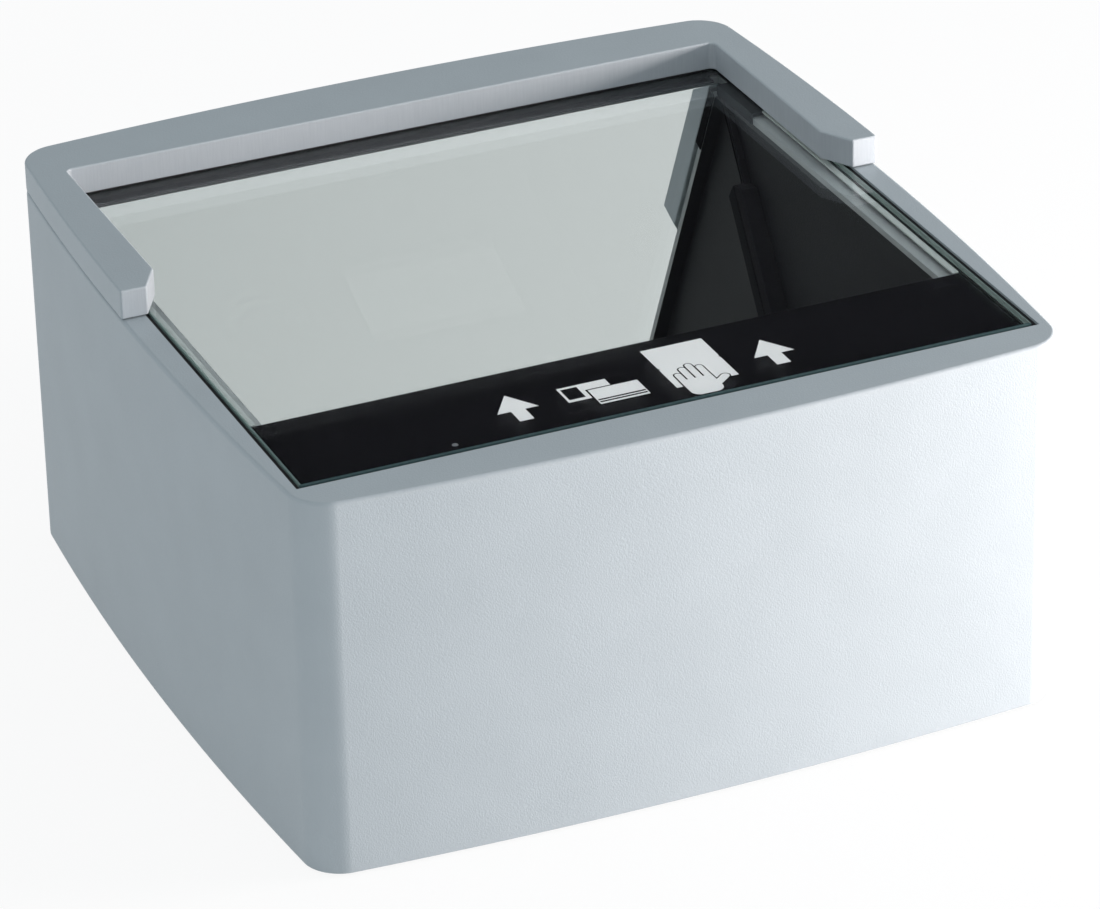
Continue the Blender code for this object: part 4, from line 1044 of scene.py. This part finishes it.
def add_screw(shank, head, height, length):
    """A domed screw that stands on its head: cross recess, round head and ridged shank."""
    steps = [*profile(head, height, screw_head_shares), (shank, height)]
    rise = height + thread_pitch
    while rise < length - 2 * thread_pitch:
        steps += [(shank, rise), (screw_root_share * shank, rise + thread_pitch / 2)]
        rise += thread_pitch
    neck, tip = [share * shank for share in screw_end_shares]
    steps += [(neck, length - thread_pitch), (tip, length)]
    screw = add_turned("screw", steps, 24)
    wide, slim = [share * head for share in recess_shares]
    cut(screw, add_cross(wide, slim, -overrun, recess_depth_share * height))
    return screw


def build_screws():
    """Screws, each kind modelled once; the turn stands the axis where the frame has it."""
    kinds = (
        ("base_screw_", ("front_left", "front_right", "rear_left", "rear_right"), 1.45, 1.2, 0),
        ("frame_screw_", ("left", "right"), 1.25, 1.7, 0),
        ("front_board_screw_", ("left", "right"), 1.2, 1.4, -math.pi / 2),
        ("main_board_screw_", ("left", "right"), 1.2, 1.4, math.pi),
    )
    for stem, words, shank, height, turn in kinds:
        low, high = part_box(stem + words[0])
        size = high - low
        screw = add_screw(shank * mm, size.x / 2, height * mm, max(size))
        for word in words:
            low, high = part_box(stem + word)
            place = (low + high) / 2
            if turn == 0:
                place.z = low.z
            elif turn > 0:
                place.z = high.z
            else:
                place.y = low.y
            finish_as(put(copy_of(screw), place, (turn, 0, 0)), "cross_" + stem + word, stem + word)
        bpy.data.objects.remove(screw)


def build_lens():
    """The lens in its holder: knurled barrel and lock ring, slotted retainer, two coated elements."""
    head, total, place = size_along_y("lens_barrel")
    tail = barrel_tail
    steps = [(barrel_tip_share * barrel_radius, 0)]
    rise = 0
    while rise < tail - thread_pitch:
        steps.append((barrel_radius, rise + 0.25 * thread_pitch))
        steps.append((groove_share * barrel_radius, rise + 0.75 * thread_pitch))
        rise += thread_pitch
    rim = chamfer_share * head
    steps += [(barrel_radius, tail), (rim, tail), (head, tail + head_chamfer)]
    steps += [(head, total - head_chamfer), (rim, total), (barrel_face_share * head, total)]
    barrel = add_turned("barrel", steps, knurl_sides)
    knurl(barrel, head, tail, total)
    bore(barrel, barrel_bore, -overrun, total, knurl_sides)
    bore(barrel, barrel_mouth, total - barrel_mouth_depth, total, knurl_sides)
    finish_as(put(barrel, place, to_rear), "threaded_lens_barrel", "lens_barrel", "lens")

    wide, thick, place = size_along_y("lens_lock_ring")
    rim = chamfer_share * wide
    steps = [(rim, 0), (wide, ring_chamfer), (wide, thick - ring_chamfer), (rim, thick)]
    ring = add_turned("ring", steps, knurl_sides)
    knurl(ring, wide, 0, thick)
    bore(ring, lock_ring_bore, -overrun, thick, knurl_sides)
    finish_as(put(ring, place, to_rear), "knurled_lock_ring", "lens_lock_ring", "lock_ring")

    wide, thick, place = size_along_y("lens_retainer")
    stop = add_turned("stop", profile(wide, thick, retainer_shares), 64)
    bore(stop, retainer_bore, -overrun, thick, 64)
    low = (-wide - overrun, -retainer_slot_half, retainer_slot_share * thick)
    cut(stop, add_box("slot", low, (wide + overrun, retainer_slot_half, thick + overrun)))
    finish_as(put(stop, place, to_rear), "slotted_lens_retainer", "lens_retainer", "lens")

    shares = [max(i, 0.1) / element_rounds for i in range(element_rounds + 1)]
    for node, front_share, rear_share in (("lens_front_glass", 0.75, 0.25), ("lens_rear_glass", 0.1, 0.9)):
        wide, thick, place = size_along_y(node)
        crown = crown_share * thick
        steps = [(share * wide, crown * rear_share * share * share) for share in shares]
        steps += [(share * wide, thick - crown * front_share * share * share) for share in reversed(shares)]
        element = put(add_turned("element", steps, 64), place, to_rear)
        finish_as(element, "coated_" + node, node, "lens", 60)
    refine("lens_holder", "moulded_lens_holder")


def build_lamps_inside():
    """Each lamp's board with three rows of diodes: white, infrared behind a dark lens, ultraviolet."""
    low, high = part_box("right_lamp_board")
    middle = (low + high) / 2
    face_y = low.y + lamp_board_thickness
    plate = add_box("plate", low, (high.x, face_y, high.z))
    break_edges(plate, 0.1 * mm, 1)
    pitch_x = (high.x - low.x + 2 * frame_clearance) / diode_columns
    pitch_z = (high.z - low.z + 2 * frame_clearance) / diode_rows
    diodes = []
    for row in range(diode_rows):
        for column in range(diode_columns):
            x = middle.x + (column - (diode_columns - 1) / 2) * pitch_x
            z = middle.z + (row - (diode_rows - 1) / 2) * pitch_z
            diodes.append(add_diode(x, face_y, z, row))
    for side, board in both_sides(plate):
        finish_as(board, side + "_lamp_plate", side + "_lamp_board")
    for side, lit in both_sides(join(diodes)):
        finish(lit, side + "_lamp_diodes", None, "status_diode")
        refine(side + "_diffuser", side + "_opal_diffuser")
        refine(side + "_reflector", side + "_white_reflector")


def add_diode(x, face_y, z, row):
    """A square package with a domed lens, whose finish follows its row."""
    reach = diode_side / 2
    low = (x - reach, face_y, z - reach)
    package = add_box("diode", low, (x + reach, face_y + diode_base, z + reach))
    break_edges(package, 0.15 * mm, 2)
    give_faces(package, diode_finishes, lambda face: 0)
    dome = add_turned("dome", profile(dome_share * diode_side, diode_dome, dome_shares), 20)
    put(dome, (x, face_y + diode_base, z), to_rear)
    give_faces(dome, diode_finishes, lambda face: row + 1)
    return join([package, dome])


def build_sockets():
    """The data socket with its contact tongue and the power socket with its pin, in the rear wall."""
    refine("usb_shell", "drawn_usb_shell", 0.3 * mm)
    low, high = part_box("usb_tongue")
    tongue = add_box("tongue", low, high)
    break_edges(tongue, 0.25 * mm, 2)
    finish_as(tongue, "moulded_usb_tongue", "usb_tongue")
    inset = contact_inset_share * (high.x - low.x)
    contacts = []
    for level in (low.z, high.z):
        for x in (low.x + inset, high.x - inset):
            start = (x - contact_half, low.y + contact_start, level - contact_lift)
            strip = add_box("contact", start, (x + contact_half, high.y - contact_end, level + contact_lift))
            break_edges(strip, 0.04 * mm, 1)
            contacts.append(strip)
    finish(join(contacts), "usb_contacts", gold, "pin_brass")
    refine("power_jack", "moulded_power_jack", 0.25 * mm)
    wide, length, place = size_along_y("power_pin")
    steps = [(wide, 0), *[(share * wide, length - back * wide) for share, back in pin_tip_shares]]
    finish_as(put(add_turned("pin", steps, 32), place, to_rear), "turned_power_pin", "power_pin")


def build_electronics():
    """The image sensor, chips, capacitor, status diode and its pipe."""
    low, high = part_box("image_sensor")
    body = add_box("sensor", low, high)
    open_mesh(body)
    pick(body, "FACE", lambda face: face.normal.y > 0.9)
    bpy.ops.mesh.inset(thickness=sensor_rim)
    bpy.ops.transform.translate(value=(0, -sensor_sink, 0))
    close_mesh()
    break_edges(body, 0.1 * mm, 2)
    window_y = high.y - sensor_sink + hair_gap

    def surface_of(face):
        return 1 if face.normal.y > 0.9 and face.center.y < window_y else 0

    give_faces(body, [chip_black, sensor_black], surface_of)
    finish(body, "sensor_package", None, "sensor_ceramic", ["image_sensor"])
    build_chip("processor", (0, 1, 2, 3))
    build_chip("memory_chip", (0, 2))

    low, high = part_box("capacitor")
    wide, tall = (high.x - low.x) / 2, high.z - low.z
    can = add_turned("can", profile(wide, tall, can_shares))
    reach, slim = [share * wide for share in vent_shares]
    cut(can, add_cross(reach, slim, vent_floor_share * tall, tall + overrun))
    middle = middle_of("capacitor")
    finish_as(put(can, (middle.x, middle.y, low.z)), "capacitor_can", "capacitor")
    refine("light_pipe", "clear_light_pipe", 0.1 * mm)
    refine("status_led", "status_diode_body", 0.3 * mm)


def build_chip(node, quarters):
    """A chip's body, and legs on the sides that the quarter turns name."""
    low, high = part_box(node)
    inset = Vector((leg_reach if len(quarters) == 4 else 0, leg_reach, 0))
    body = add_box(node, low + inset + Vector((0, 0, chip_lift)), high - inset)
    open_mesh(body)
    pick(body, "FACE", lambda face: face.normal.z > 0.9)
    bpy.ops.transform.resize(value=(chip_taper_share, chip_taper_share, 1))
    close_mesh()
    break_edges(body, 0.12 * mm, 2)
    finish_as(body, node + "_body", node)
    half_sides = ((high.x - low.x) / 2, (high.y - low.y) / 2)
    middle = (low + high) / 2
    legs = []
    for quarter in quarters:
        along, out = half_sides[::-1] if quarter % 2 else half_sides
        count = int((2 * along - 2 * leg_reach) / leg_pitch)
        for i in range(count):
            place = (i - (count - 1) / 2) * leg_pitch
            legs.append(add_leg(place, out, middle, low.z, math.pi / 2 * quarter))
    finish(join(legs), node + "_legs", bright_steel, "screw_steel")


def add_leg(along, out, middle, low_z, turn):
    """A gull-wing leg that steps down from a chip's side to the board."""
    half_leg = leg_half_share * leg_pitch
    end = (along + half_leg, -out + leg_foot_share * leg_reach, leg_thickness)
    leg = add_box("leg", (along - half_leg, -out, 0), end)
    open_mesh(leg)
    pick(leg, "FACE", lambda face: face.normal.y > 0.9)
    for share, rise in leg_steps:
        step = (0, share * leg_reach, rise * mm)
        bpy.ops.mesh.extrude_region_move(TRANSFORM_OT_translate={"value": step})
    close_mesh()
    return put(leg, (middle.x, middle.y, low_z), (0, 0, turn))


def build_walls():
    """The light box, the mirror's carrier and stands, the boards with their cable sockets, and the base."""
    for node in ("left_baffle", "right_baffle", "front_bulkhead", "floor_panel"):
        refine(node, "textured_" + node)
    refine("mirror_carrier", "moulded_mirror_carrier", 0.3 * mm)
    refine("left_mirror_stand", "left_bent_stand")
    refine("right_mirror_stand", "right_bent_stand")
    for word in ("front", "main"):
        refine(word + "_board", word + "_circuit_board", 0.08 * mm)
        refine(word + "_cable_socket", word + "_ribbon_socket")
    refine("base_plate", "pressed_base_plate", 0.3 * mm)


def dress_frame():
    """Gives the frame's own solids their finish, the shown and the hidden ones."""
    for name in nodes:
        nodes[name].data.materials.clear()
        nodes[name].data.materials.append(looks[name][0])


# Camera, fitted to the object's edges in the photograph
picture_width = 1100
focal_pixels = 5584.7
sensor_width = 36.0
camera_yaw = math.radians(23.26)
camera_pitch = math.radians(27.75)
camera_roll = math.radians(-1.29)
camera_target = Vector((-7.0 * mm, -25.2 * mm, 45.5 * mm))
camera_distance = 980.4 * mm

# Surround; the limits between which one part fades into the next are shares of the way's X or Y
room_grey = "#C6CED2"
dark_room = "#26272A"
pale_wall = "#D2D5D7"
front_fade_shares = (0.27, 0.42)
rear_fade_shares = (-0.25, -0.40)
depth_fade_shares = (-0.25, 0.25)
# The glass keeps the lamp from what lies under it, so the room's light is stronger there
under_glass = (1.55, 1.55, 1.55, 1.0)
floor_white_share = 0.9

# Softbox
softbox_place = Vector((0.476, -0.22, 0.09))
softbox_target = Vector((0, -0.03, 0.04))
softbox_size = (0.20, 0.16)
softbox_power = 5.9
softbox_colour = "#FFF5F1"


def build_camera():
    """The camera at the photograph's place."""
    level = math.cos(camera_pitch)
    forward = Vector((math.sin(camera_yaw) * level, math.cos(camera_yaw) * level, -math.sin(camera_pitch)))
    right = Vector((math.cos(camera_yaw), -math.sin(camera_yaw), 0))
    up = right.cross(forward)
    side = math.cos(camera_roll) * right + math.sin(camera_roll) * up
    top = -math.sin(camera_roll) * right + math.cos(camera_roll) * up
    data = bpy.data.cameras.new("camera")
    data.sensor_width = sensor_width
    data.lens = focal_pixels * sensor_width / picture_width
    data.clip_start = 0.05
    camera = add_object("camera", data)
    turn = Matrix((side, top, -forward)).transposed().to_4x4()
    camera.matrix_world = Matrix.Translation(camera_target - forward * camera_distance) @ turn
    bpy.context.scene.camera = camera


def build_surround():
    """The studio: white to the camera, an even pale light on the object. Reflections show a pale wall behind
    the camera, a dark room behind the object, and a pale wall again to the rear left."""
    world = bpy.data.worlds.new("surround")
    world.use_nodes = True
    bpy.context.scene.world = world
    tree = world.node_tree
    tree.nodes.clear()
    path = add_node(tree, "ShaderNodeLightPath").outputs
    way = add_node(tree, "ShaderNodeTexCoord").outputs["Generated"]
    axes = add_node(tree, "ShaderNodeSeparateXYZ", {"Vector": way}).outputs

    def fade(axis, start, end):
        inputs = {"Value": axes[axis], "From Min": start, "From Max": end}
        return add_node(tree, "ShaderNodeMapRange", inputs).outputs["Result"]

    wall = mix_colour(tree, fade("X", *front_fade_shares), "#DDDFDF", "#FFFFFF")
    rear = mix_colour(tree, fade("X", *rear_fade_shares), dark_room, pale_wall)
    seen = mix_colour(tree, fade("Y", *depth_fade_shares), wall, rear)
    room = mix_colour(tree, path["Is Transmission Ray"], room_grey, under_glass)
    soft = reckon(tree, "GREATER_THAN", path["Diffuse Depth"], 0.5)
    shown = mix_colour(tree, path["Is Camera Ray"], mix_colour(tree, soft, seen, room), "#FFFFFF")
    light = add_node(tree, "ShaderNodeBackground", {"Color": shown, "Strength": 1.0})
    add_node(tree, "ShaderNodeOutputWorld", {"Surface": light.outputs["Background"]})


def build_floor():
    """A white table: it stays white to the eye and in glass, and keeps the object's shadow."""
    bpy.ops.object.select_all(action="DESELECT")
    bpy.ops.mesh.primitive_plane_add(size=12, location=(0, 0, -hair_gap))
    floor = settle("floor")
    made, tree, shader = new_material("white_laminate_table", "#F2F3F4", 0.9)
    path = add_node(tree, "ShaderNodeLightPath").outputs
    sharp = reckon(tree, "MAXIMUM", path["Is Glossy Ray"], path["Is Transmission Ray"])
    eye = reckon(tree, "MAXIMUM", path["Is Camera Ray"], sharp)
    share = reckon(tree, "MULTIPLY", eye, floor_white_share)
    glow = add_node(tree, "ShaderNodeEmission", {"Color": linear("#FFFFFF"), "Strength": 1.0})
    inputs = {0: share, 1: shader.outputs["BSDF"], 2: glow.outputs["Emission"]}
    blend = add_node(tree, "ShaderNodeMixShader", inputs)
    tree.links.new(blend.outputs["Shader"], tree.nodes["Material Output"].inputs["Surface"])
    floor.data.materials.append(made)


def build_lamp():
    """One low softbox to the right, a little in front, near enough to fall off across the object."""
    data = bpy.data.lights.new("side_softbox", "AREA")
    data.shape = "RECTANGLE"
    data.size, data.size_y = softbox_size
    data.energy = softbox_power
    data.color = linear(softbox_colour)[:3]
    lamp = add_object("side_softbox", data)
    lamp.location = softbox_place
    lamp.rotation_euler = (softbox_target - softbox_place).to_track_quat("-Z", "Y").to_euler()


build_camera()
bpy.context.scene.view_settings.view_transform = "Standard"
build_surround()
build_floor()
build_lamp()
build_housing()
build_guide_frame()
build_glass()
build_film()
build_mirror()
build_foam()
build_walls()
build_feet()
build_screws()
build_lens()
build_lamps_inside()
build_sockets()
build_electronics()
dress_frame()
